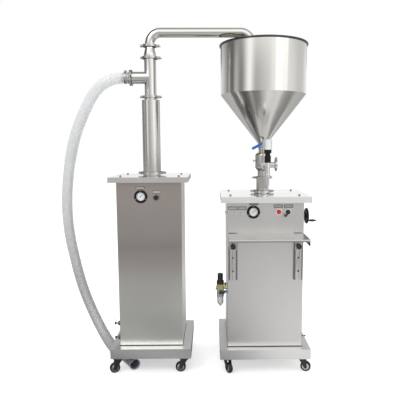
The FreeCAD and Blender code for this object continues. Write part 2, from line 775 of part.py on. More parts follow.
def build_hose():
    """Barbed tail on the tee and the clear hose from it to the floor, with a bare open end."""
    face = pump_x - tee_branch_reach
    z = tee_branch_z
    rim = face - ferrule_thickness
    shoulder = rim - barb_length
    tail = shoulder - spigot_length
    barb = fuse([rod((face, 0, z), (rim, 0, z), tee_ferrule_radius),
                 rod((rim, 0, z), (shoulder, 0, z), hose_radius),
                 rod((shoulder, 0, z), (tail, 0, z), hose_bore_radius - running_gap)])
    save("hose_barb", [barb.cut(rod((face + 1, 0, z), (tail - 1, 0, z), seat_bore))])
    shift = Vector(shoulder, 0, z) - Vector(*hose_route[0])
    points = [Vector(*p) + shift for p in hose_route[:2]] + [Vector(*p) for p in hose_route[2:]]
    radii = []
    for before, corner, after in zip(points, points[1:], points[2:]):
        reach = 0.45 * min((corner - before).Length, (after - corner).Length)
        radii.append(reach / math.tan((corner - before).getAngle(after - corner) / 2))
    print("hose arc radii", [round(radius) for radius in radii])
    path = rounded_path(points, radii)
    hose = swept(path, hose_radius).cut(swept(path, hose_bore_radius))
    section = math.pi * (hose_radius ** 2 - hose_bore_radius ** 2)
    print("hose length %.0f, volume over section x length %.4f, lowest %.2f"
          % (path.Length, hose.Volume / (section * path.Length), hose.BoundBox.ZMin))
    save("suction_hose", [hose])
    return shoulder


def build_pump_clamps(shoulder):
    x, z = pump_x, tee_branch_z
    t = ferrule_thickness
    solids = pipe_clamp((x, 0, column_joint), (0, 0, 1), column_ferrule_radius, column_ferrule_thickness)
    solids += pipe_clamp((x, 0, tee_bottom), (0, 0, 1), tee_ferrule_radius, t)
    solids += pipe_clamp((x, 0, tee_top), (0, 0, 1), tee_ferrule_radius, t, bolts=1)
    solids += pipe_clamp((x, 0, reducer_top), (0, 0, 1), feed_ferrule_radius, t, gap=running_gap)
    solids += pipe_clamp((x - tee_branch_reach, 0, z), (1, 0, 0), tee_ferrule_radius, t, 90)
    near, far = shoulder - 8.0, shoulder - 20.0
    band = rod((near, 0, z), (far, 0, z), hose_radius + 1.4)
    worm = block(far, near, -8, 8, z, z + hose_radius + 8)
    solids.append(fuse([band, worm]).cut(rod((near, 0, z), (far, 0, z), hose_radius + running_gap)))
    save("pump_clamps", solids)


def build_pump_panel():
    z = pump_knob_z
    save("pump_gauge", gauge_solids(pump_x + pump_gauge_x, pump_front, pump_gauge_z))
    x = pump_x + pump_knob_x
    face = pump_front - bezel_thickness
    save("pump_selector_knob", [fuse([rod((x, face - running_gap, z), (x, face - 12, z), 10.5),
                                      block(x - 2.5, x + 2.5, face - 16, face - 11, z - 9, z + 9),
                                      rod((x, pump_front + 14, z), (x, face - 1, z), 4.0)])])
    solids = [ring((x, face, z), (x, pump_front, z), bezel_radius, 4.0 + shaft_gap)]
    for px, py in pump_screws:
        solids.append(aim(cap_screw(5.0, 5.0, 3.0, 9.0), (px, py, pump_lid_top), (0, 0, 1)))
    for py, pz in pump_fitting_places():
        solids += push_fitting((pump_x - pump_cabinet_width / 2, py, pz), (-1, 0, 0), 11.0, 13.0)
    solids += cover_screws(pump_x, pump_cabinet_width, pump_cabinet_depth, pump_lid_top)
    save("pump_hardware", solids)


# Filler unit

filler_front = -filler_cabinet_depth / 2
filler_under_lid = filler_lid_top - lid_sheet
filler_left = filler_x - filler_cabinet_width / 2
filler_right = filler_x + filler_cabinet_width / 2
filler_screws = lid_screw_places(filler_x, filler_lid_width, filler_lid_depth)
base_joint = filler_lid_top + 9.0
product_bore = product_tube_radius - product_tube_wall
regulator_x = filler_left - regulator_x_gap
port_z = (regulator_collar_top + regulator_block_top) / 2 - 6
filler_fitting = (-120.0, 160.0)
rail_places = (filler_left + rail_inset, filler_right - rail_inset - rail_width)


def build_filler_casing():
    save("filler_base_tray", [base_tray(filler_x, filler_tray_width, filler_tray_depth)])
    y0, y1 = filler_front - 1, filler_front + 5
    z = filler_panel_z
    left, right = filler_left, filler_right
    cuts = gauge_holes(filler_x + filler_gauge_x, filler_front, z)
    for dx, radius in ((button_x, 9.0), (selector_x, 6.0)):
        cuts.append(rod((filler_x + dx, y0, z), (filler_x + dx, y1, z), radius))
    for dx in flow_knob_xs:
        cuts.append(rod((filler_x + dx, y0, flow_knob_z), (filler_x + dx, y1, flow_knob_z), 4.0))
    cuts.append(rod((right - 5, handwheel_y, handwheel_z), (right + 1, handwheel_y, handwheel_z), 9.0))
    cuts.append(rod((right - 5, *filler_fitting), (right + 1, *filler_fitting), 5.5))
    cuts.append(rod((left - 1, regulator_y, port_z), (left + 5, regulator_y, port_z), 7.0))
    cuts += lid_screw_holes(filler_screws, filler_lid_top)
    save("filler_cabinet", [cabinet(filler_x, filler_cabinet_width, filler_cabinet_depth, filler_under_lid,
                                    cuts)])
    save("filler_rear_cover", [rear_cover(filler_x, filler_cabinet_width, filler_cabinet_depth,
                                          filler_lid_top - filler_lid_height)])
    plate = lid(filler_x, filler_lid_width, filler_lid_depth, filler_lid_top, filler_lid_height)
    stub = rod((filler_x, 0, filler_lid_top), (filler_x, 0, base_joint), product_tube_radius)
    rim = rod((filler_x, 0, base_joint - ferrule_thickness), (filler_x, 0, base_joint), base_ferrule_radius)
    holes = [rod((filler_x, 0, filler_under_lid - 1), (filler_x, 0, base_joint + 1),
                 filler_rod_radius + shaft_gap)]
    holes += lid_screw_holes(filler_screws, filler_lid_top)
    save("filler_top_plate", [cut(fuse([plate, stub, rim]), holes)])


def build_filler_drive():
    solids, tube_bottom = air_cylinder(filler_x, filler_under_lid, filler_bore_radius, filler_stroke,
                                       filler_rod_radius)
    save("filler_air_cylinder", solids)
    save("filler_piston", [piston_rod(filler_x, tube_bottom, filler_bore_radius, filler_rod_radius,
                                      product_bore, base_joint + 1.0)])


def build_product_cylinder():
    r, w = product_tube_radius, product_tube_wall
    tube = turned([(r - w, base_joint), (base_ferrule_radius, base_joint),
                   (base_ferrule_radius, base_joint + ferrule_thickness),
                   (r, base_joint + ferrule_thickness), (r, product_clamp_z), (r - w, product_clamp_z)],
                  filler_x)
    save("product_cylinder", [tube])


def build_product_valve():
    """Valve body with the suction seat, a plugged port, a capped side port and the outlet to the nozzle."""
    x, z = filler_x, side_port_z
    r, w = valve_body_radius, valve_body_wall
    low, high = valve_body_bottom, ball_valve_bottom
    neck = valve_neck_radius
    seat = valve_bore_radius + 3.0
    ceiling = high - 14.0
    neck_top = product_clamp_z + ferrule_thickness
    shell = turned([(neck - pipe_wall, product_clamp_z), (product_ferrule_radius, product_clamp_z),
                    (product_ferrule_radius, neck_top), (neck, neck_top), (neck, low - 4), (r - 8, low),
                    (r, low + 9), (r, high - 12), (r - 4, high - 5), (r - 12, high), (seat, high),
                    (seat, ceiling), (r - w, ceiling), (r - w, low + 12), (neck - pipe_wall, low + 3)], x)
    side_end = x + side_port_face
    side_bore = side_port_radius - pipe_wall
    side = rod((x + r - 3, 0, z), (side_end, 0, z), side_port_radius)
    side_rim = rod((side_end - ferrule_thickness, 0, z), (side_end, 0, z), side_ferrule_radius)
    plug_axis = Vector(-0.62, -0.785, 0)
    plug_at = Vector(x, 0, feed_tube_z) + plug_axis * (r - 3)
    boss = aim(rod((0, 0, 0), (0, 0, 6), 12.0), tuple(plug_at), tuple(plug_axis))
    outlet = rod((x, -r + 3, feed_tube_z), (x, -r - 4, feed_tube_z), feed_tube_radius + 3)
    hollow = rod((x, 0, low + 12), (x, 0, ceiling), r - w)
    body = fuse([shell, side, side_rim, boss, outlet])
    body = cut(body, [rod((x + r - w - 2, 0, z), (side_end, 0, z), side_bore), hollow,
                      rod((x, 0, feed_tube_z), (x, -r - 5, feed_tube_z), feed_tube_radius - pipe_wall)])
    hex_plug = aim(hexagon(17, 7), tuple(plug_at + plug_axis * 6), tuple(plug_axis))
    vent_z = z + 20.0
    vent = fuse([rod((x - r + 1, 0, vent_z), (x - r - 10, 0, vent_z), 3.0),
                 rod((x - r - 6, 0, vent_z), (x - r - 11, 0, vent_z), 6.0)])
    vent = vent.cut(rod((x, 0, low), (x, 0, high), r))
    cap = rod((side_end, 0, z), (side_end + ferrule_thickness, 0, z), side_ferrule_radius)
    save("product_valve_body", [body, hex_plug, vent, cap])
    disc = poppet(seat + poppet_lap, seat, suction_guide)
    save("suction_poppet", [aim(disc, (x, 0, ceiling - running_gap), (0, 0, -1))])


def build_hopper():
    r, w = hopper_radius, hopper_wall
    outlet = hopper_outlet_radius
    rim, kink, low = hopper_rim_z, hopper_kink_z, hopper_outlet_z
    shell = turned([(outlet, low), (r, kink), (r, rim), (r - w, rim), (r - w, kink), (outlet - w, low + w),
                    (valve_bore_radius, low + w), (valve_bore_radius, low)], filler_x)
    bead = Part.makeTorus(r + hopper_rim_bead - 1, hopper_rim_bead,
                          Vector(filler_x, 0, rim - hopper_rim_bead + 1), up)
    save("hopper", [fuse([shell, bead])])


def build_ball_valve():
    """Ball valve under the hopper; its ball, stem and lever turn together about the Y line."""
    x, z = filler_x, ball_valve_z
    low, high = ball_valve_bottom, hopper_outlet_z
    r = ball_valve_radius
    centre = Vector(x, 0, z)
    housing = Part.makeSphere(r, centre).common(block(x - r, x + r, -r, r, low, high))
    gland_y = -(lever_reach_y - 12)
    body = fuse([housing, rod((x, 0, z), (x, gland_y, z), 9.0),
                 rod((x, 0, low), (x, 0, z), hopper_outlet_radius - 4),
                 rod((x, 0, high - 6), (x, 0, high), hopper_outlet_radius)])
    body = cut(body, [rod((x, 0, low), (x, 0, high), valve_bore_radius),
                      Part.makeSphere(ball_radius + running_gap, centre),
                      rod((x, 0, z), (x, gland_y - 1, z), 4.0 + shaft_gap)])
    save("hopper_valve_body", [body])
    bore = rod((x - r, 0, z), (x + r, 0, z), valve_bore_radius - 1.0)
    bore.rotate(centre, Vector(0, -1, 0), lever_tilt)
    stem = rod((x, 3 - ball_radius, z), (x, -lever_reach_y - 6, z), 4.0)
    rise = lever_rise
    blade = fuse([block(-lever_length, 8, 0, 3, rise - 6.5, rise + 6.5), rod((0, 0, 0), (0, 3, 0), 10.0),
                  block(-8, 8, 0, 3, 0, rise), rod((-lever_length, 0, rise), (-lever_length, 3, rise), 6.5)])
    blade.rotate(Vector(0, 0, 0), Vector(0, -1, 0), lever_tilt)
    blade.translate(Vector(x, -lever_reach_y - 3, z))
    nut = aim(hexagon(12, 5), (x, -lever_reach_y - 3, z), (0, -1, 0))
    ball = Part.makeSphere(ball_radius, centre).cut(bore)
    save("hopper_valve_lever", [fuse([ball, stem]), blade.cut(stem), nut.cut(stem)])


def build_filler_clamps():
    t = ferrule_thickness
    solids = pipe_clamp((filler_x, 0, base_joint), (0, 0, 1), base_ferrule_radius, t)
    solids += pipe_clamp((filler_x, 0, product_clamp_z), (0, 0, 1), product_ferrule_radius, t, grip=0.0)
    solids += pipe_clamp((filler_x + side_port_face, 0, side_port_z), (1, 0, 0), side_ferrule_radius, t, 180,
                         bolts=1)
    save("filler_clamps", solids)


def build_nozzle():
    """Nozzle column in front of the lid: feed tube, body with a seat in its tip, actuator and plunger."""
    x, y = filler_x, nozzle_y
    bore = nozzle_bore_radius
    gallery = bore + 2.5
    ring_top = nozzle_ring_z + nozzle_ring_height
    tip_top = nozzle_tip_z + nozzle_tip_length
    top = nozzle_body_top
    body = turned([(bore, nozzle_tip_z), (nozzle_tip_radius, nozzle_tip_z), (nozzle_tip_radius, tip_top),
                   (nozzle_low_radius, tip_top + 4), (nozzle_low_radius, nozzle_ring_z),
                   (nozzle_ring_radius, nozzle_ring_z + 1), (nozzle_ring_radius, ring_top - 1),
                   (nozzle_body_radius, ring_top), (nozzle_body_radius, top), (bore, top),
                   (bore, top - 8), (gallery, top - 8), (gallery, tip_top + 3), (bore, tip_top)], x, y)
    start = -valve_body_radius - 4
    feed = rod((x, start, feed_tube_z), (x, y, feed_tube_z), feed_tube_radius)
    nut = aim(hexagon(feed_nut_across, feed_nut_height), (x, start - 4, feed_tube_z), (0, -1, 0))
    body = fuse([body, feed, nut])
    save("nozzle_body", [cut(body, [rod((x, start + 1, feed_tube_z), (x, y, feed_tube_z), gallery),
                                    rod((x, y, tip_top + 3), (x, y, top - 8), gallery)])])
    neck = actuator_body_radius - 3
    coupling = turned([(bore, top), (actuator_body_radius, top), (actuator_body_radius, actuator_neck_z),
                       (neck, actuator_neck_z + 2), (neck, actuator_flange_z - 2),
                       (actuator_flange_radius, actuator_flange_z),
                       (actuator_flange_radius, actuator_barrel_z), (bore, actuator_barrel_z)], x, y)
    chamber = actuator_barrel_radius - 2.5
    low, high = actuator_barrel_z, actuator_top
    barrel = turned([(bore, low), (actuator_barrel_radius, low), (actuator_barrel_radius, high - 2),
                     (actuator_barrel_radius - 2, high), (0, high), (0, high - 3), (chamber, high - 3),
                     (chamber, low + 3), (bore, low + 3)], x, y)
    save("nozzle_actuator", [coupling, barrel])
    plunger = fuse([rod((x, y, tip_top - 12), (x, y, low + 5), bore - running_gap),
                    rod((x, y, low + 5), (x, y, low + 13), chamber - running_gap)])
    save("nozzle_plunger", [plunger])


def build_filler_panel():
    z = filler_panel_z
    front = filler_front
    face = front - bezel_thickness
    save("filler_gauge", gauge_solids(filler_x + filler_gauge_x, front, z))
    x = filler_x + button_x
    cap = face - button_travel - 1
    save("red_button", [fuse([rod((x, front + 6, z), (x, cap - 1, z), 8.0),
                              cone((x, cap, z), (x, cap - 5, z), button_radius, button_radius - 2)])])
    solids = [ring((x, face, z), (x, front, z), bezel_radius, 8.0 + running_gap)]
    x = filler_x + selector_x
    collar = fuse([rod((x, face - running_gap, z), (x, face - 9, z), selector_radius),
                   rod((x, front + 12, z), (x, face - 1, z), 4.0)])
    handle = block(-4, 4, 0, 8, -26, 8)
    handle.rotate(Vector(0, 0, 0), Vector(0, 1, 0), 35)
    handle.translate(Vector(x, face - 16, z))
    save("filler_selector_knob", [fuse([collar, handle])])
    solids.append(ring((x, face, z), (x, front, z), bezel_radius, 4.0 + shaft_gap))
    z = flow_knob_z
    stem = 2.5
    for name, dx in zip(("left", "right"), flow_knob_xs):
        x = filler_x + dx
        save(f"flow_knob_{name}", [fuse([rod((x, front - 4, z), (x, front - 14, z), flow_knob_radius),
                                         rod((x, front + 10, z), (x, front - 5, z), stem)])])
        solids.append(fuse([ring((x, front - 3.7, z), (x, front, z), 6.5, stem + shaft_gap),
                            ring((x, front, z), (x, front + 8, z), 4.0, stem + shaft_gap)]))
    build_filler_hardware(solids)


def build_filler_hardware(solids):
    for px, py in filler_screws:
        solids.append(aim(cap_screw(5.0, 5.0, 3.0, 9.0), (px, py, filler_lid_top), (0, 0, 1)))
    right, y, z = filler_right, handwheel_y, handwheel_z
    bore = spindle_radius + shaft_gap
    solids.append(fuse([ring((right, y, z), (right + 6, y, z), 14.0, bore),
                        ring((right - 14, y, z), (right, y, z), 9.0, bore)]))
    solids += cover_screws(filler_x, filler_cabinet_width, filler_cabinet_depth, filler_lid_top)
    solids += push_fitting((right, *filler_fitting), (1, 0, 0), 6.0, 10.0)
    y, z = -100.0, 779.0
    solids.append(fuse([rod((filler_left, y, z), (filler_left - 5, y, z), 3.0),
                        rod((filler_left - 4, y, z), (filler_left - 10, y, z), 6.0)]))
    save("filler_hardware", solids)


def build_handwheel():
    """Wheel and spindle on the right side, its revolving grip, and the stop nut the spindle carries."""
    x, y, z = filler_right + handwheel_standoff, handwheel_y, handwheel_z
    rim_radius = handwheel_radius - handwheel_rim
    rim = Part.makeTorus(rim_radius, handwheel_rim, Vector(0, 0, 0), up)
    web = rod((0, 0, -2.5), (0, 0, 2.5), rim_radius)
    windows = [rod((20 * math.cos(a), 20 * math.sin(a), -4), (20 * math.cos(a), 20 * math.sin(a), 4), 7.5)
               for a in (math.radians(30), math.radians(150), math.radians(270))]
    spindle = rod((0, 0, -handwheel_standoff - spindle_inside), (0, 0, 9), spindle_radius)
    grip_x = -rim_radius * math.sin(math.radians(grip_angle))
    grip_y = -rim_radius * math.cos(math.radians(grip_angle))
    grip_pin = rod((grip_x, grip_y, 0), (grip_x, grip_y, grip_length + 14), 3.0)
    wheel = fuse([rim, cut(web, windows), rod((0, 0, -10), (0, 0, 9), 11.0), grip_pin]).cut(spindle)
    save("handwheel", [aim(solid, (x, y, z), (1, 0, 0), 90) for solid in (wheel, spindle)])
    bore = 3.0 + shaft_gap
    grip = turned([(bore, 0), (grip_radius - 2, 0), (grip_radius, 6), (grip_radius + 0.6, grip_length - 8),
                   (grip_radius - 2, grip_length), (bore, grip_length)], grip_x, grip_y, handwheel_rim + 1)
    save("handwheel_grip", [aim(grip, (x, y, z), (1, 0, 0), 90)])
    near = filler_right - stop_rest
    far = near - stop_thickness
    half = stop_side / 2
    stop = rounded_block(far, near, y - half, y + half, z - half, z + half, 2.0)
    save("stroke_stop", [stop.cut(rod((far - 1, y, z), (near + 1, y, z), spindle_radius + shaft_gap))])


def build_regulator():
    """Filter regulator beside the filler: bowl, body with its inlet and side outlets, and the set knob."""
    x, y = regulator_x, regulator_y
    half = regulator_block_side / 2
    r, low = bowl_radius, bowl_bottom
    inner = r - bowl_wall
    bowl = turned([(0, low), (4, low), (r - 3, low + 14), (r, low + 17), (r, bowl_top), (inner, bowl_top),
                   (inner, low + 18), (4, low + 4), (0, low + 4)], x, y)
    save("regulator_bowl", [bowl])
    bonnet_radius = regulator_bonnet_radius
    bonnet_low, bonnet_top = regulator_block_top, regulator_bonnet_top
    collar = rod((x, y, bowl_top), (x, y, regulator_collar_top), bonnet_radius)
    yoke = rounded_block(x - half, x + half, y - half, y + half, regulator_collar_top, bonnet_low, 4.0)
    inlet_face = x - half - 6
    inlet = rod((inlet_face, y, port_z), (x, y, port_z), 10.0)
    outlet = fuse([rod((x, y, port_z), (filler_left, y, port_z), 8.0),
                   rod((x, y, port_z), (filler_left + 8, y, port_z), 6.5)])
    branch_x = x + half + 7
    branch = fuse([rod((branch_x, y, port_z), (branch_x, y, port_z + 20), 3.0),
                   rod((branch_x, y, port_z + 14), (branch_x, y, port_z + 24), 6.0)])
    body = fuse([collar, yoke, inlet, outlet, branch])
    body = body.cut(rod((inlet_face - 1, y, port_z), (inlet_face + port_depth, y, port_z), port_radius))
    bonnet = rod((x, y, bonnet_low), (x, y, bonnet_top), bonnet_radius)
    bonnet = bonnet.cut(rod((x, y, bonnet_top - 10), (x, y, bonnet_top), 4.0 + shaft_gap))
    push_z = (bowl_top + regulator_collar_top) / 2 + 4
    push = rod((x, y, push_z), (filler_left - 1, y, push_z), 6.5).cut(collar)
    elbow_y = y - half - 8
    elbow = fuse([rod((x - 2, y, push_z + 2), (x - 2, elbow_y, push_z + 2), 5.0),
                  rod((x - 8, elbow_y, push_z + 2), (x + half + 4, elbow_y, push_z + 2), 5.5)])
    save("regulator_body", [body, bonnet, push, cut(elbow, [collar, yoke])])
    knob_low, knob_top = bonnet_top + running_gap, regulator_knob_top
    r = regulator_knob_radius
    knob = turned([(0, bonnet_top - 9), (4, bonnet_top - 9), (4, knob_low), (r, knob_low), (r, knob_top - 2),
                   (r - 2, knob_top), (0, knob_top)], x, y)
    save("regulator_knob", [knob])


def build_rails():
    solids = []
    face = filler_front - rail_depth
    for x in rail_places:
        rail = block(x, x + rail_width, face, filler_front, rail_bottom, rail_top)
        rail = rail.cut(block(x + rail_sheet, x + rail_width - rail_sheet, face + rail_sheet, filler_front,
                              rail_bottom, rail_top))
        centre = x + rail_width / 2
        for z in rail_holes:
            rail = rail.cut(rod((centre, face - 1, z), (centre, face + 5, z), rail_hole_radius))
        solids.append(rail)
    save("tray_rails", solids)


def build_bottle_tray():
    """Folded shelf that slides down the rails, with two brackets and the knobs that hold it."""
    front, back = filler_front - shelf_depth, filler_front - running_gap
    left, right = filler_left, filler_right
    lip_low, side_low = shelf_z - shelf_front_lip, shelf_z - shelf_side_lip
    t = shelf_sheet
    parts = [block(left, right, front, back, shelf_z - t, shelf_z),
             block(left, right, front, front + t, lip_low, shelf_z)]
    parts += [block(x, x + t, front, back, side_low, shelf_z) for x in (left, right - t)]
    shelf = fuse(parts)
    rail_face = filler_front - rail_depth
    plate_back = rail_face - 0.5
    knobs = []
    brackets = []
    for x in rail_places:
        shelf = shelf.cut(block(x - 1, x + rail_width + 1, plate_back, filler_front + 1,
                                side_low - 1, shelf_z + 1))
        bracket = block(x + 3, x + rail_width - 3, plate_back - 3, plate_back,
                        rail_holes[0] - 20, shelf_z - shelf_sheet)
        centre = x + rail_width / 2
        z = rail_holes[0]
        stud = rod((centre, rail_face - running_gap, z), (centre, plate_back - 6, z), 3.0)
        brackets.append(bracket.cut(stud))
        knobs.append(fuse([stud, rod((centre, plate_back - 3, z), (centre, plate_back - 19, z),
                                     shelf_knob_radius)]))
    save("bottle_tray", [fuse([shelf] + brackets)] + knobs)


def main():
    os.makedirs("parts", exist_ok=True)
    build_pump_casing()
    build_pump_drive()
    build_pump_column()
    build_tee()
    build_reducer()
    build_discharge_pipe()
    shoulder = build_hose()
    build_pump_clamps(shoulder)
    build_pump_panel()
    castor_set("pump", pump_x, pump_tray_width, pump_tray_depth, pump_castor_inset, (200, 180))
    build_filler_casing()
    build_filler_drive()
    build_product_cylinder()
    build_product_valve()
    build_hopper()
    build_ball_valve()
    build_filler_clamps()
    build_nozzle()
    build_filler_panel()
    build_handwheel()
    build_regulator()
    build_rails()
    build_bottle_tray()
    castor_set("filler", filler_x, filler_tray_width, filler_tray_depth, filler_castor_inset, (300, 345))


main()
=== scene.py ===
import bpy
import bmesh
import json
import math
from mathutils import Matrix, Vector


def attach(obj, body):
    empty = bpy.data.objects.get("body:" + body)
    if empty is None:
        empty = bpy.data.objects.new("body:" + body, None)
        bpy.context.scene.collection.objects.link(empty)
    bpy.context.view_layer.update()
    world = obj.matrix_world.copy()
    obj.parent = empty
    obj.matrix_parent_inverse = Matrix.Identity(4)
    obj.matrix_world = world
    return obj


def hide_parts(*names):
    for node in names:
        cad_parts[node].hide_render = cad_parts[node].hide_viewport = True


# Filling machine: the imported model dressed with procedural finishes, the clear hose,
# dials, label plates and small trim.

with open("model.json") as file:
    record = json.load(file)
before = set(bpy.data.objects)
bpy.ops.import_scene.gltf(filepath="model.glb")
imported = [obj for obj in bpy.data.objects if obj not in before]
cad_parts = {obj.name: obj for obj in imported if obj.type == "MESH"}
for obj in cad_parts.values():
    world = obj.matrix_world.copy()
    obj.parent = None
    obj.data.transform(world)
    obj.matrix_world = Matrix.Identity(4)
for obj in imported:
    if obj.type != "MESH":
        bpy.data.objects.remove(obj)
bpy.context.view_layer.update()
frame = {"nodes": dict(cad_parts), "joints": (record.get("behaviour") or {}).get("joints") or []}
scene = bpy.context.scene
cadNodes = frame["nodes"]
print("frame loaded:", len(cadNodes), "nodes")


# Camera at the photograph's viewpoint

cameraSettings = {
    "place": (0.0212, -2.2635, 1.099),
    "pitch": 6.538,
    "yaw": 0.626,
    "roll": -0.173,
    "lens": 40.51,
    "shift": (-0.0414, -0.006),
}


def makeCamera(s):
    data = bpy.data.cameras.new("photoCamera")
    data.sensor_width = 36.0
    data.lens = s["lens"]
    data.shift_x, data.shift_y = s["shift"]
    camera = bpy.data.objects.new("photoCamera", data)
    scene.collection.objects.link(camera)
    turn = (Matrix.Rotation(math.radians(-s["yaw"]), 4, "Z")
            @ Matrix.Rotation(math.radians(90 - s["pitch"]), 4, "X")
            @ Matrix.Rotation(math.radians(s["roll"]), 4, "Z"))
    camera.matrix_world = Matrix.Translation(s["place"]) @ turn
    scene.camera = camera


makeCamera(cameraSettings)
scene.view_settings.view_transform = "Standard"
print("camera placed")


# Studio: world, floor and lamps

studioSettings = {
    "diffuse": (0.80, 0.80, 0.80),
    # What metal sees, by direction as a share of a turn from behind the machine: position, grey
    "bands": [(0.0, 0.96), (0.10, 0.78), (0.145, 0.56), (0.168, 0.36), (0.198, 0.20), (0.223, 0.15),
              (0.245, 0.16), (0.266, 0.60), (0.286, 0.56), (0.304, 0.30), (0.318, 0.24), (0.331, 0.28),
              (0.348, 0.58), (0.365, 0.98), (0.381, 1.25), (0.397, 1.12), (0.413, 0.66), (0.436, 0.47),
              (0.466, 0.58), (0.504, 0.70), (0.534, 0.84), (0.552, 1.06), (0.59, 0.96), (0.645, 0.74),
              (0.675, 0.98), (0.724, 0.90), (0.766, 0.73), (0.815, 0.72), (0.844, 0.78), (0.88, 0.96),
              (1.0, 1.0)],
    "overhead": 0.52,
    # How far a direction's height blends the bands into the ceiling, and the ceiling into what is overhead
    "ceilingStops": [(0.0, 0.0), (0.17, 0.0), (0.28, 1.0), (1.0, 1.0)],
    "overheadStops": [(0.0, 0.0), (0.90, 0.0), (0.97, 1.0), (1.0, 1.0)],
    "ceiling": [(0.0, 0.56), (0.12, 0.20), (0.28, 0.14), (0.36, 1.15), (0.46, 1.3), (0.54, 1.3),
                (0.64, 1.05), (0.72, 0.70), (1.0, 0.56)],
    # Dark gap low behind the machine, which draws the dark edges of tubes: tone, height and depth
    "gap": 0.14,
    "gapHeight": [(0.0, 0.0), (0.15, 0.0), (0.18, 1.0), (0.27, 1.0), (0.32, 0.0)],
    "gapDepth": [(0.0, 0.0), (0.84, 0.0), (0.94, 1.0), (1.0, 1.0)],
    "floor": (0.86, 0.86, 0.86),
    "floorReach": 30.0,
    "floorRough": 0.9,
    "floorLift": 0.51,
    # Share of the floor's colour that reaches metal, by direction round the hopper: painted reflection, the
    # floor
    # made darker only where metal reflects it: share of a turn from behind the machine, grey
    "floorCards": [(0.0, 0.70), (0.10, 0.45), (0.17, 0.22), (0.235, 0.10), (0.275, 0.08), (0.31, 0.13),
                   (0.34, 0.40), (0.36, 0.38), (0.375, 0.22), (0.43, 0.26), (0.465, 0.44), (0.54, 0.84),
                   (0.62, 0.74), (0.665, 0.84), (0.70, 0.44), (0.74, 0.32), (0.785, 0.26), (0.82, 0.75),
                   (0.90, 0.90), (1.0, 0.70)],
    "cardReach": (1.5, 2.1),
    "floorMirror": 0.58,
    "cardsCentre": (0.277, 0.0, 0.0),
}


def mathNode(tree, operation, first, second=None):
    node = tree.nodes.new("ShaderNodeMath")
    node.operation = operation
    for index, value in enumerate((first, second)):
        if value is None:
            continue
        if isinstance(value, (int, float)):
            node.inputs[index].default_value = value
        else:
            tree.links.new(value, node.inputs[index])
    return node.outputs[0]


def rampNode(tree, factor, stops):
    ramp = tree.nodes.new("ShaderNodeValToRGB")
    elements = ramp.color_ramp.elements
    while len(elements) < len(stops):
        elements.new(0.5)
    for element, (place, color) in zip(elements, stops):
        element.position = place
        if isinstance(color, (int, float)):
            color = (color, color, color)
        element.color = (*color, 1.0)
    tree.links.new(factor, ramp.inputs[0])
    return ramp.outputs[0]


def colorMix(tree, factor, first, second):
    node = tree.nodes.new("ShaderNodeMix")
    node.data_type = "RGBA"
    tree.links.new(factor, node.inputs["Factor"])
    for socket, value in ((node.inputs[6], first), (node.inputs[7], second)):
        if isinstance(value, tuple):
            socket.default_value = (*value, 1)
        else:
            tree.links.new(value, socket)
    return node.outputs[2]


def turnShare(tree, split, stops):
    # Grey by direction, as a share of a turn that starts behind the machine
    behind = mathNode(tree, "MULTIPLY", split.outputs["Y"], -1.0)
    azimuth = mathNode(tree, "ARCTAN2", split.outputs["X"], behind)
    share = mathNode(tree, "ADD", mathNode(tree, "DIVIDE", azimuth, 2 * math.pi), 0.5)
    return rampNode(tree, share, stops)


def seenShare(tree, rays):
    # Rays that the camera sends, also through clear plastic
    return mathNode(tree, "MAXIMUM", rays.outputs["Is Camera Ray"], rays.outputs["Is Transmission Ray"])


def makeWorld(s):
    world = bpy.data.worlds.new("studio")
    scene.world = world
    world.use_nodes = True
    tree = world.node_tree
    tree.nodes.clear()
    place = tree.nodes.new("ShaderNodeTexCoord")
    split = tree.nodes.new("ShaderNodeSeparateXYZ")
    tree.links.new(place.outputs["Generated"], split.inputs[0])
    bands = turnShare(tree, split, s["bands"])
    ceiling = turnShare(tree, split, s["ceiling"])
    height = rampNode(tree, split.outputs["Z"], s["ceilingStops"])
    room = colorMix(tree, height, bands, ceiling)
    above = rampNode(tree, split.outputs["Z"], s["overheadStops"])
    room = colorMix(tree, above, room, (s["overhead"],) * 3)
    low = rampNode(tree, split.outputs["Z"], s["gapHeight"])
    back = rampNode(tree, split.outputs["Y"], s["gapDepth"])
    room = colorMix(tree, mathNode(tree, "MULTIPLY", low, back), room, (s["gap"],) * 3)
    glossy = tree.nodes.new("ShaderNodeBackground")
    tree.links.new(room, glossy.inputs["Color"])
    diffuse = tree.nodes.new("ShaderNodeBackground")
    diffuse.inputs["Color"].default_value = (*s["diffuse"], 1)
    white = tree.nodes.new("ShaderNodeBackground")
    white.inputs["Color"].default_value = (1, 1, 1, 1)
    rays = tree.nodes.new("ShaderNodeLightPath")
    seen = seenShare(tree, rays)
    light = tree.nodes.new("ShaderNodeMixShader")
    tree.links.new(rays.outputs["Is Glossy Ray"], light.inputs[0])
    tree.links.new(diffuse.outputs[0], light.inputs[1])
    tree.links.new(glossy.outputs[0], light.inputs[2])
    whole = tree.nodes.new("ShaderNodeMixShader")
    tree.links.new(seen, whole.inputs[0])
    tree.links.new(light.outputs[0], whole.inputs[1])
    tree.links.new(white.outputs[0], whole.inputs[2])
    out = tree.nodes.new("ShaderNodeOutputWorld")
    tree.links.new(whole.outputs[0], out.inputs["Surface"])


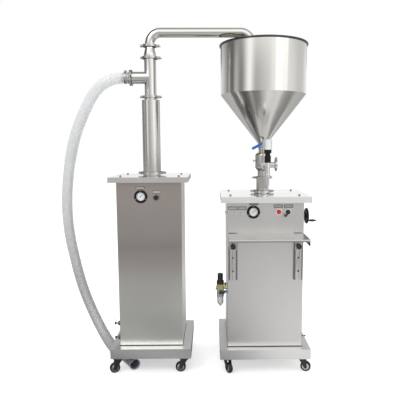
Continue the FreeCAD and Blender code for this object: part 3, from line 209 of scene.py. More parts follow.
def makeFloor(s):
    mesh = bpy.data.meshes.new("studioFloor")
    end = s["floorReach"]
    mesh.from_pydata([(-end, -end, 0), (end, -end, 0), (end, end, 0), (-end, end, 0)], [], [(0, 1, 2, 3)])
    floor = bpy.data.objects.new("studioFloor", mesh)
    scene.collection.objects.link(floor)
    material = bpy.data.materials.new("studioFloor")
    material.use_nodes = True
    tree = material.node_tree
    shader = tree.nodes["Principled BSDF"]
    shader.inputs["Roughness"].default_value = s["floorRough"]
    shader.inputs["Specular IOR Level"].default_value = 0.0
    lift = tree.nodes.new("ShaderNodeEmission")
    lift.inputs["Color"].default_value = (1, 1, 1, 1)
    rays = tree.nodes.new("ShaderNodeLightPath")
    seen = seenShare(tree, rays)
    place = tree.nodes.new("ShaderNodeTexCoord")
    shift = tree.nodes.new("ShaderNodeVectorMath")
    shift.operation = "SUBTRACT"
    shift.inputs[1].default_value = s["cardsCentre"]
    tree.links.new(place.outputs["Object"], shift.inputs[0])
    split = tree.nodes.new("ShaderNodeSeparateXYZ")
    tree.links.new(shift.outputs[0], split.inputs[0])
    distance = tree.nodes.new("ShaderNodeVectorMath")
    distance.operation = "LENGTH"
    tree.links.new(shift.outputs[0], distance.inputs[0])
    far = tree.nodes.new("ShaderNodeMapRange")
    far.inputs["From Min"].default_value, far.inputs["From Max"].default_value = s["cardReach"]
    tree.links.new(distance.outputs["Value"], far.inputs["Value"])
    # Painted reflection: glossy rays see the floor darker, by direction round the hopper
    reflectionPaint = colorMix(tree, far.outputs[0], turnShare(tree, split, s["floorCards"]), (s["floorMirror"],) * 3)
    tone = colorMix(tree, rays.outputs["Is Glossy Ray"], s["floor"], reflectionPaint)
    tree.links.new(tone, shader.inputs["Base Color"])
    tree.links.new(mathNode(tree, "MULTIPLY", seen, s["floorLift"]), lift.inputs["Strength"])
    add = tree.nodes.new("ShaderNodeAddShader")
    tree.links.new(shader.outputs[0], add.inputs[0])
    tree.links.new(lift.outputs[0], add.inputs[1])
    tree.links.new(add.outputs[0], tree.nodes["Material Output"].inputs["Surface"])
    mesh.materials.append(material)


lampSettings = [
    # name, place, aim, width, height, watts
    ("keyLamp", (-2.2, -2.6, 3.9), (0.0, 0.0, 0.8), 1.6, 1.6, 46.0),
    ("fillLamp", (2.4, -2.4, 2.0), (0.1, 0.0, 0.9), 1.9, 2.6, 8.0),
    ("topLamp", (0.0, 0.2, 4.0), (0.0, 0.0, 0.0), 2.4, 1.6, 30.0),
]


def makeLamps(rows):
    for name, place, aim, width, height, watts in rows:
        data = bpy.data.lights.new(name, "AREA")
        data.shape = "RECTANGLE"
        data.size, data.size_y = width, height
        data.energy = watts
        lamp = bpy.data.objects.new(name, data)
        scene.collection.objects.link(lamp)
        lamp.location = place
        # The top lamp would draw a white stripe on the pipes
        lamp.visible_glossy = name != "topLamp"
        lamp.rotation_euler = (Vector(aim) - Vector(place)).to_track_quat("-Z", "Y").to_euler()


makeWorld(studioSettings)
makeFloor(studioSettings)
makeLamps(lampSettings)
print("studio lit")


# Shader groups shared by several materials

def newGroup(name, inputs, outputs):
    group = bpy.data.node_groups.new(name, "ShaderNodeTree")
    for socket, value in inputs:
        kind = "NodeSocketVector" if isinstance(value, tuple) else "NodeSocketFloat"
        made = group.interface.new_socket(socket, in_out="INPUT", socket_type=kind)
        made.default_value = value
    for socket in outputs:
        group.interface.new_socket(socket, in_out="OUTPUT", socket_type="NodeSocketFloat")
    return group, group.nodes.new("NodeGroupInput"), group.nodes.new("NodeGroupOutput")


def objectPlace(tree, scale):
    place = tree.nodes.new("ShaderNodeTexCoord")
    stretch = tree.nodes.new("ShaderNodeVectorMath")
    stretch.operation = "MULTIPLY"
    tree.links.new(place.outputs["Object"], stretch.inputs[0])
    if isinstance(scale, tuple):
        stretch.inputs[1].default_value = scale
    else:
        tree.links.new(scale, stretch.inputs[1])
    return stretch.outputs[0]


def noiseNode(tree, vector, scale=1.0, detail=3.0, roughness=0.5):
    noise = tree.nodes.new("ShaderNodeTexNoise")
    noise.inputs["Scale"].default_value = scale
    noise.inputs["Detail"].default_value = detail
    noise.inputs["Roughness"].default_value = roughness
    tree.links.new(vector, noise.inputs["Vector"])
    return noise.outputs[0]


def makeGrainGroup():
    # Long fine scratches left by a belt: fine where the stretch is large
    group, start, end = newGroup("beltGrain", [("Stretch", (900.0, 900.0, 6.0)), ("Depth", 1.0)],
                                 ["Grain", "Height"])
    fine = noiseNode(group, objectPlace(group, start.outputs["Stretch"]), 1.0, 5.0, 0.65)
    grain = mathNode(group, "SMOOTH_MIN", fine, 1.0)
    group.links.new(grain, end.inputs["Grain"])
    group.links.new(mathNode(group, "MULTIPLY", grain, start.outputs["Depth"]), end.inputs["Height"])
    return group


def makeCloudGroup():
    # Slow clouding and wiping marks on handled metal
    group, start, end = newGroup("wipeClouds", [("Stretch", (3.0, 3.0, 1.2)), ("Contrast", 1.0)], ["Cloud"])
    slow = noiseNode(group, objectPlace(group, start.outputs["Stretch"]), 1.0, 4.0, 0.55)
    centred = mathNode(group, "SUBTRACT", slow, 0.5)
    spread = mathNode(group, "MULTIPLY", centred, start.outputs["Contrast"])
    group.links.new(mathNode(group, "ADD", spread, 0.5), end.inputs["Cloud"])
    return group


def makeMouldGroup():
    # Fine pebbled skin of moulded plastic and rubber
    group, start, end = newGroup("mouldSkin", [("Stretch", (1400.0, 1400.0, 1400.0)), ("Depth", 1.0)],
                                 ["Skin", "Height"])
    skin = noiseNode(group, objectPlace(group, start.outputs["Stretch"]), 1.0, 2.0, 0.5)
    group.links.new(skin, end.inputs["Skin"])
    group.links.new(mathNode(group, "MULTIPLY", skin, start.outputs["Depth"]), end.inputs["Height"])
    return group


grainGroup = makeGrainGroup()
cloudGroup = makeCloudGroup()
mouldGroup = makeMouldGroup()


def placeGroup(tree, group, **values):
    node = tree.nodes.new("ShaderNodeGroup")
    node.node_tree = group
    for name, value in values.items():
        node.inputs[name].default_value = value
    return node


def rangeNode(tree, value, low, high):
    node = tree.nodes.new("ShaderNodeMapRange")
    node.inputs["To Min"].default_value = low
    node.inputs["To Max"].default_value = high
    tree.links.new(value, node.inputs["Value"])
    return node.outputs[0]


def bumpNode(tree, height, strength, distance):
    node = tree.nodes.new("ShaderNodeBump")
    node.inputs["Strength"].default_value = strength
    node.inputs["Distance"].default_value = distance
    tree.links.new(height, node.inputs["Height"])
    return node.outputs["Normal"]


def newMaterial(name):
    material = bpy.data.materials.new(name)
    material.use_nodes = True
    tree = material.node_tree
    return material, tree, tree.nodes["Principled BSDF"]


# Metals: dark and light tone, roughness low and high, grain stretch, grain depth, cloud contrast, and for
# some the tint at the rim of a round shape, which paints its edges dark, and a painted light and shade along an
# axis: axis, low, high, stops
metalSettings = {
    # Painted light and shade up the cabinet front: lighter towards the foot, darkest a little above the middle
    "cabinetSteel": {"dark": (0.55, 0.53, 0.51), "light": (0.66, 0.64, 0.62), "rough": (0.26, 0.40),
                     "grain": (1500.0, 1500.0, 9.0), "depth": 0.35, "cloud": 1.2,
                     "shade": (2, 0.124, 0.93, [(0.0, (1.50, 1.56, 1.53)), (0.24, (1.40, 1.45, 1.42)),
                                                (0.38, (1.12, 1.13, 1.10)), (0.50, (0.80, 0.79, 0.77)),
                                                (0.61, (0.62, 0.61, 0.59)), (0.70, (0.70, 0.67, 0.65)),
                                                (0.88, (0.76, 0.71, 0.69)), (1.0, (0.76, 0.69, 0.66))])},
    # A lighter, glossier copy of the cabinet steel for the side faces: painted light on the sides
    "sideSteel": {"dark": (0.76, 0.75, 0.74), "light": (0.86, 0.86, 0.85), "rough": (0.18, 0.30),
                  "grain": (1500.0, 1500.0, 9.0), "depth": 0.2, "cloud": 0.8},
    "ringSteel": {"dark": (0.74, 0.74, 0.74), "light": (0.86, 0.86, 0.86), "rough": (0.20, 0.32),
                  "grain": (900.0, 900.0, 900.0), "depth": 0.2, "cloud": 0.8},
    "fillerSteel": {"dark": (0.63, 0.62, 0.605), "light": (0.76, 0.75, 0.745), "rough": (0.26, 0.40),
                    "grain": (1500.0, 1500.0, 9.0), "depth": 0.35, "cloud": 1.2},
    # A darker copy of the lid steel for the pump lid: painted shade
    "pumpLidSteel": {"dark": (0.58, 0.56, 0.55), "light": (0.68, 0.66, 0.65), "rough": (0.34, 0.50),
                     "grain": (9.0, 1500.0, 1500.0), "depth": 0.30, "cloud": 0.8},
    # A lighter, glossier copy for the lids' top faces: painted light
    "lidTop": {"dark": (0.88, 0.88, 0.88), "light": (0.96, 0.96, 0.96), "rough": (0.08, 0.16),
               "grain": (9.0, 1500.0, 1500.0), "depth": 0.14, "cloud": 0.8},
    "lidSteel": {"dark": (0.84, 0.84, 0.83), "light": (0.93, 0.93, 0.92), "rough": (0.34, 0.50),
                 "grain": (9.0, 1500.0, 1500.0), "depth": 0.30, "cloud": 0.8},
    "traySteel": {"dark": (0.80, 0.80, 0.78), "light": (0.91, 0.91, 0.89), "rough": (0.30, 0.45),
                  "grain": (9.0, 1500.0, 1500.0), "depth": 0.30, "cloud": 0.9},
    # A darker copy of the tray steel for the trays' side faces, with the grain turned: painted shade on the
    # sides
    "trayEdge": {"dark": (0.50, 0.50, 0.49), "light": (0.60, 0.60, 0.58), "rough": (0.34, 0.48),
                 "grain": (1500.0, 9.0, 1500.0), "depth": 0.30, "cloud": 0.9},
    "columnSteel": {"dark": (0.60, 0.59, 0.56), "light": (0.73, 0.72, 0.69), "rough": (0.10, 0.20),
                    "grain": (60.0, 60.0, 1600.0), "depth": 0.10, "cloud": 1.0, "rim": 0.35},
    # Near-black steel that paints shade: the hopper's rim and the bottle tray's folded sides
    "rimSteel": {"dark": (0.06, 0.06, 0.07), "light": (0.14, 0.14, 0.16), "rough": (0.12, 0.24),
                 "grain": (60.0, 60.0, 1600.0), "depth": 0.10, "cloud": 1.0},
    "nozzleSteel": {"dark": (0.84, 0.84, 0.83), "light": (0.94, 0.94, 0.93), "rough": (0.10, 0.20),
                    "grain": (300.0, 300.0, 900.0), "depth": 0.12, "cloud": 1.0},
    "barrelSteel": {"dark": (0.92, 0.92, 0.93), "light": (0.97, 0.97, 0.98), "rough": (0.42, 0.54),
                    "grain": (300.0, 300.0, 900.0), "depth": 0.12, "cloud": 0.8},
    "hopperSteel": {"dark": (0.70, 0.68, 0.64), "light": (0.81, 0.79, 0.76), "rough": (0.10, 0.20),
                    "grain": (60.0, 60.0, 1600.0), "depth": 0.10, "cloud": 1.0},
    "pipeSteel": {"dark": (0.66, 0.64, 0.61), "light": (0.78, 0.77, 0.74), "rough": (0.05, 0.12),
                  "grain": (500.0, 500.0, 60.0), "depth": 0.08, "cloud": 1.0, "rim": 0.3},
    "castSteel": {"dark": (0.44, 0.42, 0.40), "light": (0.72, 0.71, 0.69), "rough": (0.10, 0.24),
                  "grain": (500.0, 500.0, 500.0), "depth": 0.4, "cloud": 2.0, "rim": 0.3},
    "bodySteel": {"dark": (0.50, 0.48, 0.45), "light": (0.68, 0.66, 0.63), "rough": (0.16, 0.30),
                  "grain": (240.0, 240.0, 1200.0), "depth": 0.3, "cloud": 1.6, "rim": 0.3},
    "cylinderSteel": {"dark": (0.62, 0.59, 0.55), "light": (0.76, 0.73, 0.70), "rough": (0.06, 0.14),
                      "grain": (60.0, 60.0, 1600.0), "depth": 0.08, "cloud": 1.0, "rim": 0.3},
    "railSteel": {"dark": (0.50, 0.48, 0.46), "light": (0.66, 0.64, 0.61), "rough": (0.22, 0.34),
                  "grain": (1500.0, 1500.0, 9.0), "depth": 0.3, "cloud": 1.2},
    # The rails' steel copies carry painted shade across their width: dark at the edges and in a line near the
    # middle
    "leftRail": {"dark": (0.62, 0.60, 0.57), "light": (0.78, 0.76, 0.73), "rough": (0.22, 0.34),
                 "grain": (1500.0, 1500.0, 9.0), "depth": 0.3, "cloud": 1.2,
                 "shade": (0, 0.101, 0.142, [(0.0, 0.22), (0.08, 0.22), (0.17, 0.85),
                                             (0.34, 1.0), (0.42, 0.55),
                                             (0.50, 1.0), (0.76, 0.95), (0.88, 0.30), (1.0, 0.22)])},
    "rightRail": {"dark": (0.62, 0.60, 0.57), "light": (0.78, 0.76, 0.73), "rough": (0.22, 0.34),
                  "grain": (1500.0, 1500.0, 9.0), "depth": 0.3, "cloud": 1.2,
                  "shade": (0, 0.412, 0.453, [(0.0, 0.22), (0.12, 0.30), (0.24, 0.95),
                                              (0.50, 1.0), (0.58, 0.55),
                                              (0.66, 1.0), (0.83, 0.85), (0.92, 0.22), (1.0, 0.22)])},
    # Painted light and shade up the tray's front lip: darker at its foot, a painted highlight band along its top
    "shelfSteel": {"dark": (0.54, 0.53, 0.50), "light": (0.70, 0.68, 0.66), "rough": (0.22, 0.34),
                   "grain": (9.0, 1500.0, 1500.0), "depth": 0.3, "cloud": 1.2,
                   "shade": (2, 0.675, 0.687, [(0.0, 0.50), (0.36, 0.60), (0.46, 1.0),
                                               (0.56, 1.6), (0.90, 1.6),
                                               (0.99, 1.0), (1.0, 1.0)])},
    "screwSteel": {"dark": (0.30, 0.29, 0.28), "light": (0.42, 0.41, 0.40), "rough": (0.25, 0.40),
                   "grain": (900.0, 900.0, 900.0), "depth": 0.3, "cloud": 1.0},
    "zincSteel": {"dark": (0.16, 0.16, 0.17), "light": (0.26, 0.26, 0.27), "rough": (0.25, 0.42),
                  "grain": (500.0, 500.0, 500.0), "depth": 0.4, "cloud": 1.4},
    "aluminiumGrey": {"dark": (0.60, 0.61, 0.62), "light": (0.72, 0.73, 0.74), "rough": (0.35, 0.48),
                      "grain": (900.0, 900.0, 900.0), "depth": 0.4, "cloud": 0.8},
    "yokeOlive": {"dark": (0.52, 0.47, 0.22), "light": (0.66, 0.61, 0.33), "rough": (0.30, 0.44),
                  "grain": (700.0, 700.0, 700.0), "depth": 0.4, "cloud": 1.2},
}


def vectorNode(tree, operation, first, socket, second):
    node = tree.nodes.new("ShaderNodeVectorMath")
    node.operation = operation
    tree.links.new(first, node.inputs[0])
    if isinstance(second, float):
        node.inputs[socket].default_value = second
    else:
        tree.links.new(second, node.inputs[socket])
    return node.outputs[0]


def paintLightAlong(tree, color, axis, low, high, stops):
    # Paints light and shade into a colour: multiplies it by stops that run along one object axis between two
    # places, stops over one painting highlight and stops under one painting shade. A ramp holds no value over
    # one, so the stops are halved in it and doubled after it
    split = tree.nodes.new("ShaderNodeSeparateXYZ")
    place = tree.nodes.new("ShaderNodeTexCoord")
    tree.links.new(place.outputs["Object"], split.inputs[0])
    along = tree.nodes.new("ShaderNodeMapRange")
    along.inputs["From Min"].default_value, along.inputs["From Max"].default_value = low, high
    tree.links.new(split.outputs[axis], along.inputs["Value"])
    halved = []
    for at, tone in stops:
        parts = tone if isinstance(tone, tuple) else (tone,) * 3
        halved.append((at, tuple(part / 2 for part in parts)))
    shaded = vectorNode(tree, "MULTIPLY", color, 1, rampNode(tree, along.outputs[0], halved))
    return vectorNode(tree, "SCALE", shaded, "Scale", 2.0)


def makeMetal(name, s):
    material, tree, shader = newMaterial(name)
    grain = placeGroup(tree, grainGroup, Stretch=s["grain"], Depth=s["depth"])
    cloud = placeGroup(tree, cloudGroup, Contrast=s["cloud"])
    tone = mathNode(tree, "ADD", mathNode(tree, "MULTIPLY", grain.outputs["Grain"], 0.45),
                    mathNode(tree, "MULTIPLY", cloud.outputs["Cloud"], 0.55))
    color = colorMix(tree, tone, s["dark"], s["light"])
    # Painted light and shade along an axis
    if "shade" in s:
        color = paintLightAlong(tree, color, *s["shade"])
    tree.links.new(color, shader.inputs["Base Color"])
    tree.links.new(rangeNode(tree, tone, *s["rough"]), shader.inputs["Roughness"])
    tree.links.new(bumpNode(tree, grain.outputs["Height"], 0.25, 0.0004), shader.inputs["Normal"])
    shader.inputs["Metallic"].default_value = 1.0
    # A rim tint under one darkens the reflection at the edges of round metal: a painted dark edge
    shader.inputs["Specular Tint"].default_value = (*(s.get("rim", 1.0),) * 3, 1)
    return material


# Plastics, paint and rubber: dark and light tone, roughness low and high, skin depth, coat, specular level
plasticSettings = {
    "blackPlastic": {"dark": (0.012, 0.012, 0.013), "light": (0.03, 0.03, 0.032), "rough": (0.32, 0.48),
                     "depth": 0.5, "coat": 0.0},
    "blackEnamel": {"dark": (0.006, 0.006, 0.007), "light": (0.014, 0.014, 0.015), "rough": (0.26, 0.38),
                    "depth": 0.2, "coat": 0.0, "specular": 0.22},
    "redPlastic": {"dark": (0.58, 0.005, 0.02), "light": (0.74, 0.012, 0.035), "rough": (0.22, 0.32),
                   "depth": 0.15, "coat": 0.5},
    "bluePaint": {"dark": (0.012, 0.09, 0.42), "light": (0.025, 0.15, 0.60), "rough": (0.28, 0.42),
                  "depth": 0.3, "coat": 0.2},
    "bluePlastic": {"dark": (0.02, 0.12, 0.34), "light": (0.05, 0.20, 0.48), "rough": (0.28, 0.40),
                    "depth": 0.3, "coat": 0.0},
    "tealPlastic": {"dark": (0.008, 0.075, 0.12), "light": (0.016, 0.125, 0.18), "rough": (0.28, 0.40),
                    "depth": 0.3, "coat": 0.0},
    "navyPlastic": {"dark": (0.008, 0.018, 0.07), "light": (0.016, 0.032, 0.12), "rough": (0.28, 0.40),
                    "depth": 0.3, "coat": 0.0},
    "forkBlack": {"dark": (0.014, 0.014, 0.015), "light": (0.034, 0.034, 0.036), "rough": (0.30, 0.46),
                  "depth": 0.6, "coat": 0.15},
    "tyreRubber": {"dark": (0.010, 0.010, 0.011), "light": (0.028, 0.028, 0.03), "rough": (0.45, 0.62),
                   "depth": 0.9, "coat": 0.0},
    "hubPlastic": {"dark": (0.48, 0.48, 0.49), "light": (0.60, 0.60, 0.61), "rough": (0.35, 0.5),
                   "depth": 0.4, "coat": 0.0},
    "dialWhite": {"dark": (0.88, 0.89, 0.90), "light": (0.93, 0.94, 0.95), "rough": (0.40, 0.5),
                  "depth": 0.1, "coat": 0.0},
    "hoseRim": {"dark": (0.20, 0.24, 0.32), "light": (0.30, 0.34, 0.42), "rough": (0.2, 0.3),
                "depth": 0.2, "coat": 0.0},
    # Dark opaque bore at the hose's mouth: painted shade inside the tube
    "hoseInside": {"dark": (0.16, 0.17, 0.21), "light": (0.26, 0.27, 0.32), "rough": (0.25, 0.35),
                   "depth": 0.2, "coat": 0.0},
    "labelGrey": {"dark": (0.02, 0.018, 0.018), "light": (0.04, 0.036, 0.034), "rough": (0.4, 0.5),
                  "depth": 0.1, "coat": 0.0},
    "labelPale": {"dark": (0.44, 0.42, 0.40), "light": (0.52, 0.50, 0.48), "rough": (0.4, 0.5),
                  "depth": 0.1, "coat": 0.0},
}


def makePlastic(name, s):
    material, tree, shader = newMaterial(name)
    skin = placeGroup(tree, mouldGroup, Depth=s["depth"])
    cloud = placeGroup(tree, cloudGroup, Stretch=(40.0, 40.0, 40.0), Contrast=1.2)
    tone = mathNode(tree, "ADD", mathNode(tree, "MULTIPLY", skin.outputs["Skin"], 0.5),
                    mathNode(tree, "MULTIPLY", cloud.outputs["Cloud"], 0.5))
    tree.links.new(colorMix(tree, tone, s["dark"], s["light"]), shader.inputs["Base Color"])
    tree.links.new(rangeNode(tree, tone, *s["rough"]), shader.inputs["Roughness"])
    tree.links.new(bumpNode(tree, skin.outputs["Height"], 0.3, 0.0003), shader.inputs["Normal"])
    shader.inputs["Coat Weight"].default_value = s["coat"]
    shader.inputs["Specular IOR Level"].default_value = s.get("specular", 0.5)
    return material


# Height above the floor and the wall's tone there: painted shade, the hose darker towards the floor
hoseSettings = {"centre": 0.34, "edge": 0.90, "tone": (0.93, 0.94, 0.95), "shade": (0.84, 0.85, 0.86),
                "film": [(0.0, 0.47), (0.25, 0.50), (0.55, 0.82), (0.9, 1.0), (1.0, 1.0)], "filmTop": 1.45}


def makeClear(name, s):
    material, tree, shader = newMaterial(name)
    weight = tree.nodes.new("ShaderNodeLayerWeight")
    weight.inputs["Blend"].default_value = 0.35
    cloud = placeGroup(tree, cloudGroup, Stretch=(9.0, 9.0, 3.0), Contrast=0.4)
    tone = colorMix(tree, cloud.outputs["Cloud"], s["shade"], s["tone"])
    # Painted shade: the wall's tone darkens towards the floor
    if "film" in s:
        place = tree.nodes.new("ShaderNodeTexCoord")
        split = tree.nodes.new("ShaderNodeSeparateXYZ")
        tree.links.new(place.outputs["Object"], split.inputs[0])
        height = mathNode(tree, "DIVIDE", split.outputs["Z"], s["filmTop"])
        tone = vectorNode(tree, "MULTIPLY", tone, 1, rampNode(tree, height, s["film"]))
    tree.links.new(tone, shader.inputs["Base Color"])
    tree.links.new(rangeNode(tree, weight.outputs["Facing"], s["centre"], s["edge"]), shader.inputs["Alpha"])
    tree.links.new(rangeNode(tree, cloud.outputs["Cloud"], 0.10, 0.20), shader.inputs["Roughness"])
    return material


mats = {name: makeMetal(name, s) for name, s in metalSettings.items()}
mats.update({name: makePlastic(name, s) for name, s in plasticSettings.items()})
mats["hoseClear"] = makeClear("hoseClear", hoseSettings)
mats["bowlClear"] = makeClear("bowlClear", {"centre": 0.30, "edge": 0.9, "tone": (0.60, 0.61, 0.61),
                                            "shade": (0.40, 0.41, 0.41)})
mats["dialGlass"] = makeClear("dialGlass", {"centre": 0.03, "edge": 0.30, "tone": (0.9, 0.9, 0.9),
                                            "shade": (0.85, 0.85, 0.85)})
print("materials made:", len(mats))


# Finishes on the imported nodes

def dress(node, materialNames, rule=None, bevel=0.0006):
    piece = cadNodes[node]
    mesh = piece.data
    mesh.materials.clear()
    names = [materialNames] if isinstance(materialNames, str) else materialNames
    for name in names:
        mesh.materials.append(mats[name])
    for face in mesh.polygons:
        face.use_smooth = True
        face.material_index = rule(face.center, face.normal) if rule else 0
    weld = piece.modifiers.new("weld", "WELD")
    weld.merge_threshold = 0.00002
    if bevel:
        edge = piece.modifiers.new("softEdge", "BEVEL")
        edge.width = bevel
        edge.segments = 2
        edge.limit_method = "ANGLE"
        edge.angle_limit = math.radians(38)
        edge.use_clamp_overlap = True
    piece.modifiers.new("evenNormals", "WEIGHTED_NORMAL")


def axisDistance(point, origin, direction):
    offset = point - Vector(origin)
    axis = Vector(direction).normalized()
    return (offset - axis * offset.dot(axis)).length


simpleFinishes = {
    "cabinetSteel": ["pump_rear_cover"],
    "fillerSteel": ["filler_rear_cover"],
    "columnSteel": ["pump_column"],
    "pipeSteel": ["pump_tee", "pump_reducer", "discharge_pipe", "hose_barb"],
    "cylinderSteel": ["product_cylinder"],
    "nozzleSteel": ["nozzle_body"],
    "castSteel": ["pump_clamps", "filler_clamps", "hopper_valve_body"],
    "bodySteel": ["product_valve_body"],
    "railSteel": ["pump_piston", "filler_piston", "nozzle_plunger", "stroke_stop",
                  "pump_inlet_poppet", "pump_outlet_poppet", "suction_poppet"],
    "aluminiumGrey": ["pump_air_cylinder", "filler_air_cylinder"],
    "blackPlastic": ["pump_selector_knob", "filler_selector_knob", "handwheel_grip", "regulator_knob"],
}
for finish, names in simpleFinishes.items():
    for node in names:
        dress(node, finish)
hopperRim = 1.5775
# Above the rim height the hopper is painted near-black: painted shade at its rim
dress("hopper", ["hopperSteel", "rimSteel"], lambda point, normal: 1 if point.z > hopperRim else 0)
for node in ("flow_knob_left", "flow_knob_right"):
    dress(node, ["screwSteel", "nozzleSteel"], lambda point, normal: 1 if normal.y < -0.9 else 0, 0.0003)
# Each rail gets its own copy of the rail steel with painted shade across it
dress("tray_rails", ["leftRail", "rightRail"], lambda point, normal: 1 if point.x > 0.277 else 0)
# Side faces get the lighter copy of the steel: painted light
for node, finish in (("pump_cabinet", "cabinetSteel"), ("filler_cabinet", "fillerSteel")):
    dress(node, [finish, "sideSteel"], lambda point, normal: 1 if abs(normal.x) > 0.9 else 0)
# Top faces get the lighter copy: painted light on the lids' tops; the pump lid's other faces get a darker copy:
# painted shade
for node, finish in (("pump_top_plate", "pumpLidSteel"), ("filler_top_plate", "lidSteel")):
    dress(node, [finish, "lidTop"], lambda point, normal: 1 if normal.z > 0.9 else 0)
# Side faces of the base trays get the darker copy: painted shade
for node in ("pump_base_tray", "filler_base_tray"):
    dress(node, ["traySteel", "trayEdge"], lambda point, normal: 1 if abs(normal.x) > 0.9 else 0)


def gaugeRule(centre, yFace):
    def rule(point, normal):
        radius = axisDistance(point, centre, (0, 1, 0))
        depth = yFace - point.y
        if radius > 0.0206:
            near = min((point - Vector((centre[0] + x, point.y, centre[2] + z))).length
                       for x, z in gaugeScrews)
            return 2 if near < 0.0028 and depth > 0.0033 else 0
        if depth > 0.0035:
            return 3
        if depth > 0.00205:
            return 0
        return 1
    return rule


screwReach = 0.0315 - 0.0042
gaugeScrews = [(screwReach * math.cos(math.radians(a)), screwReach * math.sin(math.radians(a)))
               for a in (90, 210, 330)]
gaugeCentres = {"pump_gauge": (-0.315, -0.14, 0.862), "filler_gauge": (0.218, -0.1615, 0.789)}
for node, centre in gaugeCentres.items():
    dress(node, ["blackEnamel", "dialWhite", "screwSteel", "dialGlass"], gaugeRule(centre, centre[1]), 0.0003)


def wheelRule(centre, axis):
    def rule(point, normal):
        return 0 if axisDistance(point, centre, axis) > 0.01701 else 1
    return rule


wheelNames = ("pump_wheel_left", "pump_wheel_right", "pump_rear_wheels", "filler_wheel_left",
              "filler_wheel_right", "filler_rear_wheels")
for joint in frame["joints"]:
    if joint["child"] in wheelNames:
        dress(joint["child"], ["tyreRubber", "hubPlastic"], wheelRule(joint["pos_m"], joint["axis"]), 0.0005)
for node in ("pump_fork_left", "pump_fork_right", "filler_fork_left", "filler_fork_right",
             "pump_castor_frames", "filler_castor_frames"):
    dress(node, ["forkBlack", "zincSteel"], lambda point, normal: 1 if point.z > 0.0735 else 0, 0.0004)

leverPivot = (0.277, 1.096)
leverTilt = math.radians(27)
leverHub = 0.009
bladeSpan = (-0.0552, -0.0518)


def leverRule(point, normal):
    # Painted blade beyond the hub, measured along the tilted lever
    right, above = point.x - leverPivot[0], point.z - leverPivot[1]
    along = right * math.cos(leverTilt) + above * math.sin(leverTilt)
    return 1 if along < -leverHub and bladeSpan[0] < point.y < bladeSpan[1] else 0


handwheelHub = (0.495, -0.04, 0.751)
spindleRadius, spindleEnd = 0.0061, 0.486
buttonFace = -0.1690
actuatorJoint = 1.0821
dress("hopper_valve_lever", ["castSteel", "bluePaint"], leverRule)
dress("red_button", ["redPlastic", "castSteel"], lambda p, n: 0 if p.y < buttonFace else 1, 0.0005)
dress("nozzle_actuator", ["blackEnamel", "barrelSteel"], lambda p, n: 1 if p.z > actuatorJoint else 0)


def handwheelRule(point, normal):
    return 1 if axisDistance(point, handwheelHub, (1, 0, 0)) < spindleRadius and point.x < spindleEnd else 0


dress("handwheel", ["blackEnamel", "castSteel"], handwheelRule)


def shelfRule(point, normal):
    # The two knobs, the folded sides in painted shade, the top with the front lip, and the rest of the tray
    if point.z < 0.643 and point.y < -0.1769 and abs(point.z - 0.627) < 0.0127:
        return 1
    if abs(normal.x) > 0.9 and abs(point.x - 0.277) > 0.17:
        return 2
    return 0 if point.z > 0.6745 and (normal.y < -0.5 or normal.z > 0.5) else 3


dress("bottle_tray", ["shelfSteel", "blackPlastic", "rimSteel", "railSteel"], shelfRule)


far = math.inf
every = (-far, far)


def spanRule(parts, otherwise):
    # Each part is a material's number and the spans of x, y and z that get it; the first that fits counts
    def rule(point, normal):
        for material, *spans in parts:
            if all(low < value < high for value, (low, high) in zip(point, spans)):
                return material
        return otherwise
    return rule


# The neck under the knob, the front plug, the push-in fitting, the screw and the yoke
regulatorParts = [
    (1, (-far, 0.0817), every, (0.4069, far)),
    (1, every, (-far, -0.0681), (0.3594, 0.3736)),
    (3, (0.0815, far), every, (0.3584, 0.3726)),
    (4, (0.0812, far), every, (0.3990, far)),
    (0, every, every, (0.3799, far)),
]
dress("regulator_body", ["yokeOlive", "blackPlastic", "aluminiumGrey", "bluePlastic", "screwSteel"],
      spanRule(regulatorParts, 2))
dress("regulator_bowl", "bowlClear", bevel=0.0003)

# The ends and bodies of the fittings on the cabinets' sides, and the screws on the lids
pumpTrim = [
    (2, (-far, -0.4548), (-far, -0.09), every),
    (1, (-far, -0.4305), (-far, -0.09), every),
    (3, every, every, (0.95, far)),
]
fillerTrim = [
    (3, (0.4688, far), every, (-far, 0.2)),
    (1, (0.4575, far), every, (-far, 0.2)),
    (2, every, every, (0.86, far)),
]
dress("pump_hardware", ["ringSteel", "tealPlastic", "blackPlastic", "screwSteel"], spanRule(pumpTrim, 0), 0.0004)
dress("filler_hardware", ["ringSteel", "navyPlastic", "screwSteel", "blackPlastic"], spanRule(fillerTrim, 0),
      0.0004)
print("packed nodes finished")


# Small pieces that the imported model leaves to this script

def makePiece(name, mesh, body, finish):
    piece = bpy.data.objects.new(name, mesh)
    scene.collection.objects.link(piece)
    for one in ([finish] if isinstance(finish, str) else finish):
        mesh.materials.append(mats[one])
    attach(piece, body)
    return piece


def makeTurned(name, rings, origin, direction, body, finish, sides=48):
    # Closed ring turned about a line: rings are (radius, distance along the line)
    axis = Vector(direction).normalized()
    side = axis.orthogonal().normalized()
    across = axis.cross(side)
    shape = bmesh.new()
    rows = []
    for radius, along in rings:
        rows.append([shape.verts.new(Vector(origin) + axis * along
                                     + side * radius * math.cos(2 * math.pi * k / sides)
                                     + across * radius * math.sin(2 * math.pi * k / sides))
                     for k in range(sides)])
    for index, row in enumerate(rows):
        after = rows[(index + 1) % len(rows)]
        for k in range(sides):
            shape.faces.new((row[k], row[(k + 1) % sides], after[(k + 1) % sides], after[k]))
    bmesh.ops.recalc_face_normals(shape, faces=shape.faces[:])
    mesh = bpy.data.meshes.new(name)
    shape.to_mesh(mesh)
    shape.free()
    for face in mesh.polygons:
        face.use_smooth = True
    piece = makePiece(name, mesh, body, finish)
    corner = piece.modifiers.new("edges", "EDGE_SPLIT")
    corner.split_angle = math.radians(50)
    return piece


